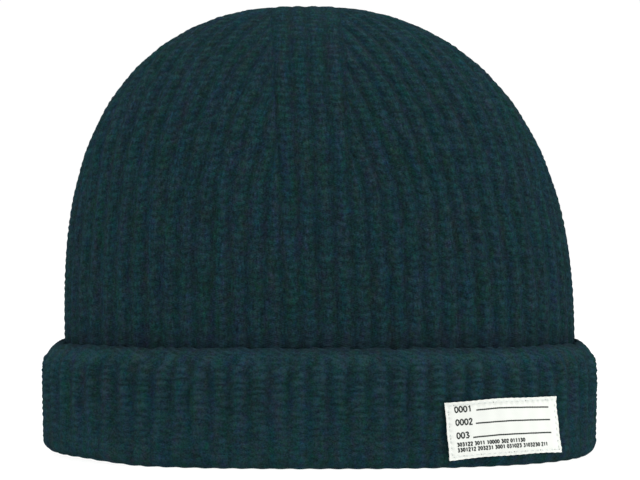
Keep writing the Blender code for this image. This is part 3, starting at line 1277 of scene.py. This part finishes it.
@dataclass(frozen=True)
class KnitSkin:
    """Builds the mesh of one stretch of the knit's face."""

    form: HatForm
    layout: RibLayout
    stitch: Stitch
    closed_size: float = 0.05

    def build(self, name: str, rows: Rows, ribs: range, count: int, face: Face) -> Object:
        """Makes the skin.

        Args:
            name: The piece's name.
            rows: Its rows, from the tip's side on.
            ribs: The ribs that it covers, in order, which may run past the last rib to the first.
            count: Columns in a rib.
            face: The face whose ribs show.

        Returns:
            The new object.
        """
        line = self.form.line.at(rows.run)
        columns = Columns(np.array(ribs) % self.form.ribs, np.linspace(0, 1, count + 1))
        widths = self.layout.widths(line.size)
        edges = self.layout.edges(widths, line.course)
        widths = widths[:, columns.ribs]
        raised, courses = self.raised(line, rows, columns, widths, face)
        place = self.laid(line, rows, columns, edges, raised)
        around = columns.around + (0.5 if face is Face.CUFF_OUTSIDE else 0.0) + 0 * courses
        cloth = np.stack([around, courses], axis=-1)

        numbers, total = self.number(widths, count, len(columns.ribs) == self.form.ribs)
        vertices = np.zeros((total, 3))
        vertices[numbers[:, :, ::-1].reshape(-1)] = place[:, :, ::-1].reshape(-1, 3)
        flip = rows.out[0] > 0
        faces = self.faces(numbers, cloth, flip)
        if line.size[0] < self.closed_size:
            tip = vertices[np.unique(numbers[0])].mean(axis=0)
            faces = joined(faces, self.fans(numbers[0], cloth[0], flip, total))
            vertices = np.concatenate([vertices, tip[None]])
        return write_mesh(name, vertices, faces.corners, faces.counts, faces.cloth)

    def raised(self, line: Line, rows: Rows, columns: Columns, widths: Array,
               face: Face) -> tuple[Array, Array]:
        """Height of the stitches over the knit's face.

        Args:
            line: The line at each row.
            rows: The rows.
            columns: The columns.
            widths: Each rib's width, by row and rib.
            face: The face whose ribs show.

        Returns:
            Heights in metres, and each vertex's course with its scatter, by row, rib and column.
        """
        form, across = self.form, columns.across
        reach = np.abs(2 * across - 1)
        owner = np.repeat(columns.ribs[:, None], len(across), axis=1)
        if face is Face.CUFF_OUTSIDE:
            reach = 1 - reach
            owner = owner + (across >= 0.5)
        owner = owner % form.ribs
        shifts, depths = self.stitch.scatter(line.course, form.ribs)
        in_lip = by_row(smooth_step(line.course - form.lip_start, *self.stitch.lip_part))
        narrow = np.minimum(widths * np.minimum(line.size / form.tip_size, 1)[:, None], 1)
        courses = by_row(line.course) + shifts[:, owner] * (1 - in_lip)
        ribbed = self.stitch.ribbed(reach, courses, depths[:, owner])
        ribbed *= by_row(rows.relief * line.relief) * narrow[..., None]
        edging = self.stitch.lip(columns.around, by_row(line.course))
        return ribbed + edging * by_row(rows.relief) * in_lip, courses

    def laid(self, line: Line, rows: Rows, columns: Columns, edges: Array, raised: Array) -> Array:
        """Lays the vertices over the middle surface, and their loops along the hem. None is under the ground.

        Args:
            line: The line at each row.
            rows: The rows.
            columns: The columns.
            edges: The grooves' shares of their row, by row and groove.
            raised: Each vertex's height over the knit's face.

        Returns:
            Points by row, rib and column.
        """
        form = self.form
        points, normals, down = form.field(line)
        left = edges[:, columns.ribs]
        right = np.where(columns.ribs == form.ribs - 1, 1 + edges[:, :1], edges[:, columns.ribs + 1])
        shares = (left[..., None] + (right - left)[..., None] * columns.across) % 1.0
        ways = points.shape[1] - 1
        spot = shares * ways
        below = np.clip(np.floor(spot).astype(int), 0, ways - 1)
        part = (spot - below)[..., None]
        row = by_row(np.arange(len(rows.run)))
        points, normals, down = (values[row, below] * (1 - part) + values[row, below + 1] * part
                                 for values in (points, normals, down))
        way = normals * by_row(rows.out)[..., None] + down * by_row(rows.along)[..., None]
        place = points + way * (by_row(line.half_knit) + raised)[..., None]
        loops = self.stitch.hem(columns.around, form.line.run[-1] - line.run, form.ribs)
        place += down * loops[..., None]
        place[..., 2] = np.maximum(place[..., 2], 0.0)
        return place

    @staticmethod
    def number(widths: Array, count: int, closed: bool) -> tuple[Array, int]:
        """Numbers the vertices, row by row, with the columns of ended ribs drawn into the next groove.

        Args:
            widths: Each rib's width, by row and rib.
            count: Columns in a rib.
            closed: Whether the last rib meets the first.

        Returns:
            The vertex of each row, rib and column, and how many vertices there are.
        """
        numbers = np.empty((*widths.shape, count + 1), int)
        before = 0
        for row, width in enumerate(widths):
            living = width > 0
            start = before + (np.cumsum(living) - living) * count
            numbers[row] = start[:, None] + np.where(living[:, None], np.arange(count + 1), 0)
            last = before + int(living.sum()) * count
            if closed:
                numbers[row][numbers[row] == last] = before
            before = last + (0 if closed else 1)
        return numbers, before

    @staticmethod
    def faces(numbers: Array, cloth: Array, flip: bool) -> Faces:
        """Joins each row to the next, with triangles where a rib ends.

        Args:
            numbers: The vertex of each row, rib and column.
            cloth: Texture coordinates, the same way.
            flip: Whether the faces look along the normals of the middle surface.

        Returns:
            The faces.
        """
        order = ((0, 0), (1, 0), (1, 1), (0, 1)) if flip else ((0, 0), (0, 1), (1, 1), (1, 0))
        rows, _, columns = numbers.shape

        def corners(values: Array) -> list[Array]:
            """The values at each corner of every cell."""
            return [values[down:rows - 1 + down, :, over:columns - 1 + over] for down, over in order]

        quads = np.stack(corners(numbers), axis=-1).reshape(-1, 4)
        places = np.stack(corners(cloth), axis=-2).reshape(-1, 4, 2)
        ends = ((0, 0), (0, 1), (1, 0), (1, 1))
        top, top_end, bottom, bottom_end = (order.index(corner) for corner in ends)
        pinched = quads[:, top] == quads[:, top_end]
        gone = quads[:, bottom] == quads[:, bottom_end]
        whole = ~pinched & ~gone
        ending = pinched & ~gone
        kept = [k for k in range(4) if k != top_end]
        return Faces(
            np.concatenate([quads[whole].reshape(-1), quads[ending][:, kept].reshape(-1)]),
            np.concatenate([np.full(int(whole.sum()), 4), np.full(int(ending.sum()), 3)]),
            np.concatenate([places[whole].reshape(-1, 2), places[ending][:, kept].reshape(-1, 2)]),
        )

    @staticmethod
    def fans(numbers: Array, cloth: Array, flip: bool, tip: int) -> Faces:
        """Draws the first row in to a middle vertex.

        Args:
            numbers: The row's vertices, by rib and column.
            cloth: Its texture coordinates, the same way.
            flip: Whether the faces look along the normals of the middle surface.
            tip: The number of the middle vertex.

        Returns:
            The triangles.
        """
        one, other = numbers[:, :-1].reshape(-1), numbers[:, 1:].reshape(-1)
        real = one != other
        one, other = one[real], other[real]
        middle = np.full(len(one), tip)
        fans = np.stack([one, other, middle] if flip else [other, one, middle], axis=-1)
        places = np.repeat(cloth[:, :-1].reshape(-1, 2)[real], 3, axis=0)
        return Faces(fans.reshape(-1), np.full(len(one), 3), places)


@dataclass(frozen=True)
class KnitCap:
    """The whole knitted cap: the crown's two halves, the cuff and the inside."""

    form: HatForm
    crown_skin: KnitSkin
    cuff_skin: KnitSkin
    columns: int = 10
    inside_columns: int = 6
    rows_per_course: int = 5
    inside_rows_per_course: int = 3
    hidden_step: float = 0.003
    hidden_relief: float = 0.3
    seen_below_cuff_top: float = 0.008
    tip_start: float = 0.0006
    hem_turns: int = 8
    hem_relief: float = 0.6
    nestling: float = 1.7

    def stations(self) -> dict[str, float]:
        """Lengths of run at the places where the pieces meet.

        Returns:
            The lengths at the cuff's top, the foot and the hem.
        """
        line = self.form.line
        cuff_top = line.run[np.argmin(np.abs(line.height - self.form.cuff_height))]
        foot = line.run[np.argmin(line.height)] + self.form.foot_flat / 2
        return {"cuff_top": float(cuff_top), "foot": float(foot), "hem": float(line.run[-1])}

    def spaced(self, start: float, end: float, step: float) -> Array:
        """Evenly spaced lengths, about a step apart, with both ends."""
        return np.linspace(start, end, max(2, int(round(abs(end - start) / step)) + 1))

    def crown_rows(self, at: dict[str, float]) -> Rows:
        """Rows down the crown's outside, and coarser ones behind the cuff.

        Args:
            at: Where the pieces meet.

        Returns:
            The rows.
        """
        seen = at["cuff_top"] + self.seen_below_cuff_top
        fine = self.spaced(self.tip_start, seen, self.form.crown_course / self.rows_per_course)
        hidden = self.spaced(seen, at["foot"], self.hidden_step)[1:]
        return Rows.on_face(np.concatenate([fine, hidden]), Face.CROWN_OUTSIDE)

    def cuff_rows(self, at: dict[str, float]) -> Rows:
        """Rows up the cuff's outside, over its rounded hem and down behind it.

        Args:
            at: Where the pieces meet.

        Returns:
            The rows.
        """
        runs = self.spaced(at["foot"], at["hem"], self.form.cuff_course / self.rows_per_course)
        turn = np.linspace(0, math.pi, self.hem_turns + 1)[1:-1]
        plain = np.ones(len(turn))
        out = -np.cos(turn)
        out = out * np.where(out > 0, self.nestling, 1.0)
        over = Rows(at["hem"] * plain, out, np.sin(turn), self.hem_relief * plain)
        behind = self.spaced(at["hem"], at["foot"], self.hidden_step)
        front = joined(Rows.on_face(runs, Face.CUFF_OUTSIDE), over)
        return joined(front, Rows.on_face(behind, Face.CROWN_OUTSIDE, self.hidden_relief))

    def inside_rows(self, at: dict[str, float]) -> Rows:
        """Rows down the crown's inside to the foot."""
        step = self.form.crown_course / self.inside_rows_per_course
        return Rows.on_face(self.spaced(self.tip_start, at["foot"], step), Face.CUFF_OUTSIDE)

    def crown_finish(self) -> WoolFinish:
        """The crown's wool, with painted shade just over the cuff."""
        return WoolFinish(
            name="crown_wool_knit",
            tilt=self.crown_skin.stitch.tilt,
            tone=0.86,
            groove_shade=0.22,
            between_shade=0.33,
            dash_light=0.20,
            grain_across=7.0,
            grain_along=0.9,
            grain_contrast=1.5,
            painted_hem_shade=(0.0510, 0.0440),
            painted_hem_shade_depth=0.42,
        )

    def cuff_finish(self) -> WoolFinish:
        """The cuff's and the inside's wool, with painted shade from just under the hem upwards."""
        return WoolFinish(
            name="cuff_wool_knit",
            tilt=self.cuff_skin.stitch.tilt,
            lip_start=self.form.lip_start,
            tone=0.98,
            groove_shade=0.27,
            between_shade=0.25,
            dash_light=0.42,
            grain_across=2.0,
            grain_along=2.6,
            grain_contrast=1.0,
            painted_hem_shade=(0.0394, 0.0424),
            painted_hem_shade_depth=0.65,
            fading=(0.006, 0.030),
        )

    def build(self) -> None:
        """Builds and dresses all four pieces."""
        at = self.stations()
        half, quarter = self.form.ribs // 2, self.form.ribs // 4
        crown, cuff = self.crown_finish().material(), self.cuff_finish().material()
        crown_rows = self.crown_rows(at)
        for name, first in (("crown_front", -quarter), ("crown_back", half - quarter)):
            ribs = range(first, first + half)
            piece = self.crown_skin.build(name, crown_rows, ribs, self.columns, Face.CROWN_OUTSIDE)
            fit_piece(piece, crown, KNIT_NODE)
        tubes = (
            ("cuff_knit", self.cuff_rows(at), self.columns),
            ("knit_inside", self.inside_rows(at), self.inside_columns),
        )
        for name, rows, columns in tubes:
            piece = self.cuff_skin.build(name, rows, range(self.form.ribs), columns, Face.CUFF_OUTSIDE)
            fit_piece(piece, cuff, KNIT_NODE)


# The label


@dataclass(frozen=True)
class Print:
    """The label's print as pen strokes, in millimetres from its lower left corner.

    It is three ruled lines that begin with plain numerals, and two rows of tiny numerals that mean nothing. A
    numeral's shape is a pen stroke in a box that is 1 wide and 1.6 high.
    """

    numerals: tuple[tuple[Span, ...], ...] = (
        ((0.5, 1.6), (0.1, 1.3), (0.0, 0.8), (0.1, 0.3), (0.5, 0.0), (0.9, 0.3), (1.0, 0.8), (0.9, 1.3),
         (0.5, 1.6)),
        ((0.2, 1.2), (0.6, 1.6), (0.6, 0.0)),
        ((0.0, 1.2), (0.3, 1.6), (0.8, 1.5), (0.9, 1.1), (0.0, 0.0), (1.0, 0.0)),
        ((0.0, 1.4), (0.5, 1.6), (0.9, 1.3), (0.4, 0.85), (1.0, 0.5), (0.7, 0.05), (0.0, 0.1)),
    )
    rules: tuple[tuple[tuple[int, ...], float, tuple[Span, ...]], ...] = (
        ((0, 0, 0, 1), 16.3, ((11.3, 16.6), (20.0, 16.8), (40.0, 16.3))),
        ((0, 0, 0, 2), 11.8, ((10.7, 12.0), (23.0, 12.1), (40.2, 11.8))),
        ((0, 0, 3), 7.2, ((9.2, 7.2), (19.5, 7.4), (40.2, 7.2))),
    )
    margin: float = 3.4
    pitch: float = 1.62
    size: Span = (1.15, 1.3)
    pen: float = 0.50
    fine_margin: float = 3.2
    fine_pitch: float = 0.98
    fine_gap: float = 0.55
    fine_size: Span = (0.66, 0.78)
    fine_pen: float = 0.42
    fine_group: tuple[int, int] = (3, 8)
    fine_rows: tuple[Span, ...] = ((4.5, 25.0), (2.6, 37.5))
    seed: int = 5

    def numeral(self, digit: int, corner: Span, size: Span) -> list[Span]:
        """A numeral's stroke, from its lower left corner and the size of a unit of its box."""
        return [(corner[0] + size[0] * x, corner[1] + size[1] * y) for x, y in self.numerals[digit]]

    def strokes(self) -> list[Stroke]:
        """All the print's strokes.

        Returns:
            Each stroke's points and its width.
        """
        strokes = []
        for digits, rise, rule in self.rules:
            strokes.append((list(rule), self.pen))
            for place, digit in enumerate(digits):
                corner = (self.margin + self.pitch * place, rise)
                strokes.append((self.numeral(digit, corner, self.size), self.pen))
        draw = np.random.default_rng(self.seed)
        for rise, end in self.fine_rows:
            start = self.fine_margin
            while start < end:
                for digit in draw.integers(0, len(self.numerals), draw.integers(*self.fine_group)):
                    strokes.append((self.numeral(int(digit), (start, rise), self.fine_size), self.fine_pen))
                    start += self.fine_pitch
                start += self.fine_gap
        return strokes


@dataclass(frozen=True)
class Label:
    """A strip of woven tape sewn to the cuff, ruled in dark ink.

    A wave is a pair of its height in metres and its radians for each metre.
    """

    form: HatForm
    width: float = 0.0440
    height: float = 0.0200
    thickness: float = 0.00045
    gap: float = 0.0003
    from_side: float = 0.0696
    rise: float = 0.0136
    tilt: float = math.radians(1.3)
    slant: float = math.radians(5.0)
    cells: tuple[int, int] = (110, 50)
    sharp_edge: float = math.radians(50)
    bow: float = 0.0007
    lift: float = 0.0002
    corner_draw: float = 0.0008
    side_waves: tuple[Span, Span] = ((0.00008, 620), (0.00005, 2900))
    end_waves: tuple[Span, Span] = ((0.00010, 260), (0.00005, 2600))
    wave_reach: int = 6
    rib_press: float = 0.00010
    rib_spacing: float = 0.0032
    rib_phase: float = 0.6
    sag: float = 0.00018
    sag_paces: Span = (170, 210)
    sag_phases: Span = (1.2, -0.4)
    thread_pull: float = 0.00025
    pull_width: float = 0.0007
    free_edge: float = 0.00022
    free_edge_least: float = 0.4
    stitch_inset: float = 0.0011
    stitch_pitch: float = 0.0021
    stitch_length: float = 0.0013
    thread_radius: float = 0.00016
    thread_end: float = 0.35
    thread_sink: float = 0.7
    bead_cells: tuple[int, int] = (7, 8)
    hole_length: float = 0.00034
    hole_share: float = 0.3
    hole_seed: int = 17
    ink_lift: float = 0.00003
    ink_step: float = 0.0002
    ink_waver: float = 0.15
    ink_waver_pace: float = 9000
    probe: float = 0.0002  # how far apart the spots are that give the label's direction

    @property
    def reach(self) -> float:
        """From the middle of the wall to the label's underside."""
        return self.form.stand_off + self.form.half_knit + self.form.cuff_relief_height + self.gap

    def ripple(self, across: Array, up: Array) -> Array:
        """How far the cloth stands off its even lie, with the thread's pull and the ribs' press.

        Args:
            across: Metres from the label's middle along its width.
            up: Metres from its middle along its height.

        Returns:
            Heights in metres.
        """
        ribs = self.rib_press * np.cos(across / self.rib_spacing * math.pi + self.rib_phase)
        slow = (self.sag * np.sin(across * self.sag_paces[0] + self.sag_phases[0])
                * np.cos(up * self.sag_paces[1] + self.sag_phases[1]))
        edge_x = self.width / 2 - np.abs(across)
        edge_y = self.height / 2 - np.abs(up)
        edge = np.minimum(edge_x, edge_y)
        drawn = -self.thread_pull * np.exp(-(((edge - self.stitch_inset) / self.pull_width) ** 2))
        beat = 0.5 + 0.5 * np.cos(np.where(edge_x < edge_y, up, across) * FULL_TURN / self.stitch_pitch)
        free = self.free_edge * np.clip(1 - edge / self.stitch_inset, 0, 1) * (self.free_edge_least + beat)
        return ribs + slow + drawn * beat + free

    def outline(self, across: Array, up: Array) -> tuple[Array, Array]:
        """Bends the label's even grid to its slightly wavy cut edges.

        Args:
            across: Metres from the label's middle along its width.
            up: Metres from its middle along its height.

        Returns:
            The moved across and up.
        """
        near_side = np.abs(across) / (self.width / 2)
        near_end = np.abs(up) / (self.height / 2)
        (slow, slow_pace), (fine, fine_pace) = self.side_waves
        wave_x = slow * np.sin(up * slow_pace + np.sign(across)) + fine * np.sin(up * fine_pace)
        (slow, slow_pace), (fine, fine_pace) = self.end_waves
        wave_y = slow * np.sin(across * slow_pace + 2 * np.sign(up)) + fine * np.sin(across * fine_pace)
        drawn_in = self.corner_draw * np.clip(across / self.width + 0.5, 0, 1)
        drawn_in = drawn_in * np.clip(up / self.height + 0.5, 0, 1)
        bowed = self.bow * (1 - near_side**2) + self.lift
        return (across + wave_x * near_side**self.wave_reach - drawn_in,
                up + wave_y * near_end**self.wave_reach + bowed)

    def place(self, across: Array, up: Array, lift: Array | float) -> Array:
        """Points on the label.

        Args:
            across: Metres from the label's middle along its width.
            up: Metres from its middle along its height.
            lift: Metres out from its underside.

        Returns:
            The points, one row each.
        """
        width, depth = self.form.wall_half_width + self.reach, self.form.wall_half_depth + self.reach
        length = self.form.oval_length(width, depth)
        along = length / 4 - self.from_side + across * math.cos(self.tilt) - up * math.sin(self.slant)
        shares = [(along + step) / length for step in (0, self.probe, -self.probe)]
        (x, y), (x_next, y_next), (x_last, y_last) = (self.form.oval(width, depth, share) for share in shares)
        tangent = unit(np.stack([x_next - x_last, y_next - y_last], axis=-1))
        away = self.ripple(across, up) + lift
        z = self.rise + across * math.sin(self.tilt) + up * math.cos(self.slant)
        return np.stack([x + tangent[..., 1] * away, y - tangent[..., 0] * away, z], axis=-1)

    def build_cloth(self) -> None:
        """Builds and dresses the tape: a front, a back and the cut edges between them."""
        columns, rows = self.cells
        grid_x, grid_y = np.meshgrid(np.linspace(-0.5, 0.5, columns + 1) * self.width,
                                     np.linspace(-0.5, 0.5, rows + 1) * self.height)
        flat = np.stack([grid_x.ravel(), grid_y.ravel()], axis=-1)
        outline = self.outline(*flat.T)
        points = np.concatenate([self.place(*outline, self.thickness), self.place(*outline, 0.0)])
        count = len(flat)
        index = np.arange(count).reshape(rows + 1, columns + 1)
        front = np.stack([index[:-1, :-1], index[:-1, 1:], index[1:, 1:], index[1:, :-1]], -1).reshape(-1, 4)
        rim = np.concatenate([index[0, :-1], index[:-1, -1], index[-1, :0:-1], index[:0:-1, 0]])
        after = np.roll(rim, -1)
        edge = np.stack([after, rim, rim + count, after + count], axis=-1)
        quads = np.concatenate([front, front[:, ::-1] + count, edge])
        piece = write_quads("label_tape", points, quads, np.concatenate([flat, flat]))
        piece.data.set_sharp_from_angle(angle=self.sharp_edge)
        fit_piece(piece, TapeFinish().material(), LABEL_NODE)

    def stitch_places(self) -> list[Bead]:
        """The stitches round the border.

        Returns:
            The middle of each, and whether it runs along the width.
        """
        half_x, half_y = self.width / 2 - self.stitch_inset, self.height / 2 - self.stitch_inset
        along = np.arange(-half_x + self.stitch_pitch / 2, half_x, self.stitch_pitch)
        upward = np.arange(-half_y + self.stitch_pitch / 2, half_y, self.stitch_pitch)
        level = [(x, y, True) for y in (-half_y, half_y) for x in along]
        return level + [(x, y, False) for x in (-half_x, half_x) for y in upward]

    def needle_holes(self) -> list[Bead]:
        """Where the dark wool shows through the needle's holes: some of the places between two stitches.

        Returns:
            The middle of each, and whether the stitches there run along the width.
        """
        draw = np.random.default_rng(self.hole_seed)
        half = self.stitch_pitch / 2
        places = [(x + half * level, y + half * (not level), level) for x, y, level in self.stitch_places()]
        return [place for place in places if draw.uniform() < self.hole_share]

    def build_beads(self, name: str, finish: StrandFinish, length: float, beads: list[Bead]) -> None:
        """Builds and dresses short beads that lie on the cloth with their ends in it.

        Args:
            name: The piece's name.
            finish: Its finish.
            length: Each bead's length.
            beads: Where the beads are, and whether each runs along the width.
        """
        rings, sides = self.bead_cells
        share = np.linspace(0, 1, rings)
        bow = np.sin(share * math.pi)
        radius = self.thread_radius * (self.thread_end + (1 - self.thread_end) * bow**0.5)
        turn = np.linspace(0, FULL_TURN, sides, endpoint=False)
        side = np.cos(turn)[None, :] * radius[:, None]
        lift = self.thickness + (bow[:, None] - self.thread_sink) * self.thread_radius
        lift = lift + np.sin(turn)[None, :] * radius[:, None]
        run = np.repeat(((share - 0.5) * length)[:, None], sides, axis=1)
        points, quads = [], []
        for place, (x, y, level) in enumerate(beads):
            across, up = (x + run, y + side) if level else (x + side, y + run)
            points.append(self.place(*self.outline(across.ravel(), up.ravel()), lift.ravel()))
            index = place * rings * sides + np.arange(rings * sides).reshape(rings, sides)
            one, other = index[:-1], index[1:]
            cells = [one, np.roll(one, -1, 1), np.roll(other, -1, 1), other]
            quads.append(np.stack(cells if level else cells[::-1], -1).reshape(-1, 4))
        piece = write_quads(name, np.concatenate(points), np.concatenate(quads))
        fit_piece(piece, finish.material(), LABEL_NODE)

    def build_print(self, finish: StrandFinish) -> None:
        """Builds and dresses the ink: a thin ribbon for each stroke, laid on the cloth.

        Args:
            finish: Its finish.
        """
        points, quads = [], []
        done = 0
        for path, pen in Print().strokes():
            line = np.array(path) / 1000 - np.array([self.width, self.height]) / 2
            lengths = np.concatenate([[0], np.cumsum(np.linalg.norm(np.diff(line, axis=0), axis=1))])
            at = np.linspace(0, lengths[-1], max(5, int(lengths[-1] / self.ink_step)))
            x, y = (np.interp(at, lengths, axis) for axis in line.T)
            slope = unit(np.stack([np.gradient(x), np.gradient(y)], axis=-1))
            half = pen / 2000 * (1 + self.ink_waver * np.sin(at * self.ink_waver_pace))
            sides = []
            for way in (-1, 0, 1):
                edge = self.outline(x - slope[:, 1] * half * way, y + slope[:, 0] * half * way)
                sides.append(self.place(*edge, self.thickness + self.ink_lift * (1 if way else 2)))
            points.append(np.stack(sides, axis=1).reshape(-1, 3))
            index = done + np.arange(len(at) * 3).reshape(-1, 3)
            for k in range(2):
                cells = [index[:-1, k], index[1:, k], index[1:, k + 1], index[:-1, k + 1]]
                quads.append(np.stack(cells, -1))
            done += len(at) * 3
        piece = write_quads("label_print", np.concatenate(points), np.concatenate(quads))
        fit_piece(piece, finish.material(), LABEL_NODE)

    def build(self) -> None:
        """Builds and dresses the label's four pieces."""
        thread = StrandFinish("white_thread", (0.62, 0.65, 0.63, 1.0), (0.36, 0.40, 0.39, 1.0), 3000.0, 0.7)
        wool = StrandFinish("wool_in_needle_holes", (0.02, 0.03, 0.03, 1.0), (0.08, 0.10, 0.10, 1.0), 3000.0,
                            0.9)
        ink = StrandFinish("dark_ink", (0.008, 0.012, 0.010, 1.0), (0.030, 0.036, 0.033, 1.0), 2500.0, 0.75)
        self.build_cloth()
        self.build_beads("label_thread", thread, self.stitch_length, self.stitch_places())
        self.build_beads("label_needle_holes", wool, self.hole_length, self.needle_holes())
        self.build_print(ink)


# The studio


def set_up(thing: Object, place: Point, aim: Point) -> None:
    """Puts a light or a camera in the scene, at a place and turned to look at a point.

    Args:
        thing: The light or camera.
        place: Where it stands.
        aim: What it looks at.
    """
    way = Vector(aim) - Vector(place)
    thing.location = place
    thing.rotation_euler = way.to_track_quat("-Z", "Y").to_euler()
    bpy.context.scene.collection.objects.link(thing)


@dataclass(frozen=True)
class SoftBox:
    """A large soft light."""

    name: str
    place: Point
    power: float
    aim: Point = (0.0, 0.0, 0.08)
    size: float = 0.7

    def build(self) -> None:
        """Adds the light, turned towards its aim."""
        light = bpy.data.lights.new(self.name, "AREA")
        light.shape = "DISK"
        light.size = self.size
        light.energy = self.power
        set_up(bpy.data.objects.new(self.name, light), self.place, self.aim)


@dataclass(frozen=True)
class Studio:
    """A plain white ground, soft light and the camera."""

    camera_place: Point = (0.00017, -0.5947, 0.0765)
    camera_tilt: float = math.radians(0.358)
    image_width: float = 640.0
    focal_pixels: float = 1552.1
    sensor: float = 36.0
    ground_size: float = 60.0
    world_strength: float = 1.02
    lights: tuple[SoftBox, ...] = (
        SoftBox("key", (-0.35, -0.65, 1.05), 4.8),
        SoftBox("fill", (0.94, -0.34, 0.40), 6.8),
        SoftBox("side", (-0.94, -0.34, 0.40), 3.0),
        SoftBox("top", (0.05, 0.25, 1.15), 5.0, aim=(0.0, 0.0, 0.12)),
    )

    def build_ground(self) -> None:
        """Builds the ground that the hat stands on."""
        half = self.ground_size / 2
        points = np.array([(-half, -half, 0), (half, -half, 0), (half, half, 0), (-half, half, 0)])
        ground = write_quads("ground", points, np.arange(4).reshape(1, 4))
        ground.data.materials.append(FloorFinish().material())

    def build_world(self) -> None:
        """Sets up even white light from all round."""
        world = bpy.data.worlds.new("white_room")
        world.use_nodes = True
        sky = world.node_tree.nodes["Background"]
        sky.inputs["Color"].default_value = WHITE
        sky.inputs["Strength"].default_value = self.world_strength
        bpy.context.scene.world = world
        bpy.context.scene.view_settings.view_transform = "Standard"

    def build_camera(self) -> None:
        """Sets up the camera, as far off and as high as the photograph's."""
        data = bpy.data.cameras.new("camera")
        data.sensor_width = self.sensor
        data.lens = self.focal_pixels * self.sensor / self.image_width
        camera = bpy.data.objects.new("camera", data)
        x, y, z = self.camera_place
        set_up(camera, self.camera_place, (x, y + 1.0, z + math.tan(self.camera_tilt)))
        bpy.context.scene.camera = camera

    def build(self) -> None:
        """Builds the ground, the lights and the camera."""
        self.build_ground()
        self.build_world()
        for light in self.lights:
            light.build()
        self.build_camera()
        LOG.info("studio built")


def main() -> None:
    """Builds every piece in order."""
    logging.basicConfig(level=logging.INFO, format="%(name)s: %(message)s")
    form = HatForm.from_frame()
    layout = RibLayout(form)
    steep = Stitch(form.rib_height, tilt=0.45, leg_depth=0.00030, crease_depth=0.00024, bump_depth=0.00018,
                   uneven=0.35)
    level = Stitch(form.rib_height, tilt=0.2, leg_depth=0.00040, crease_depth=0.00008, bump_depth=0.00034,
                   uneven=0.4)
    KnitCap(form, KnitSkin(form, layout, steep), KnitSkin(form, layout, level)).build()
    Label(form).build()
    Studio().build()


if __name__ == "__main__":
    main()
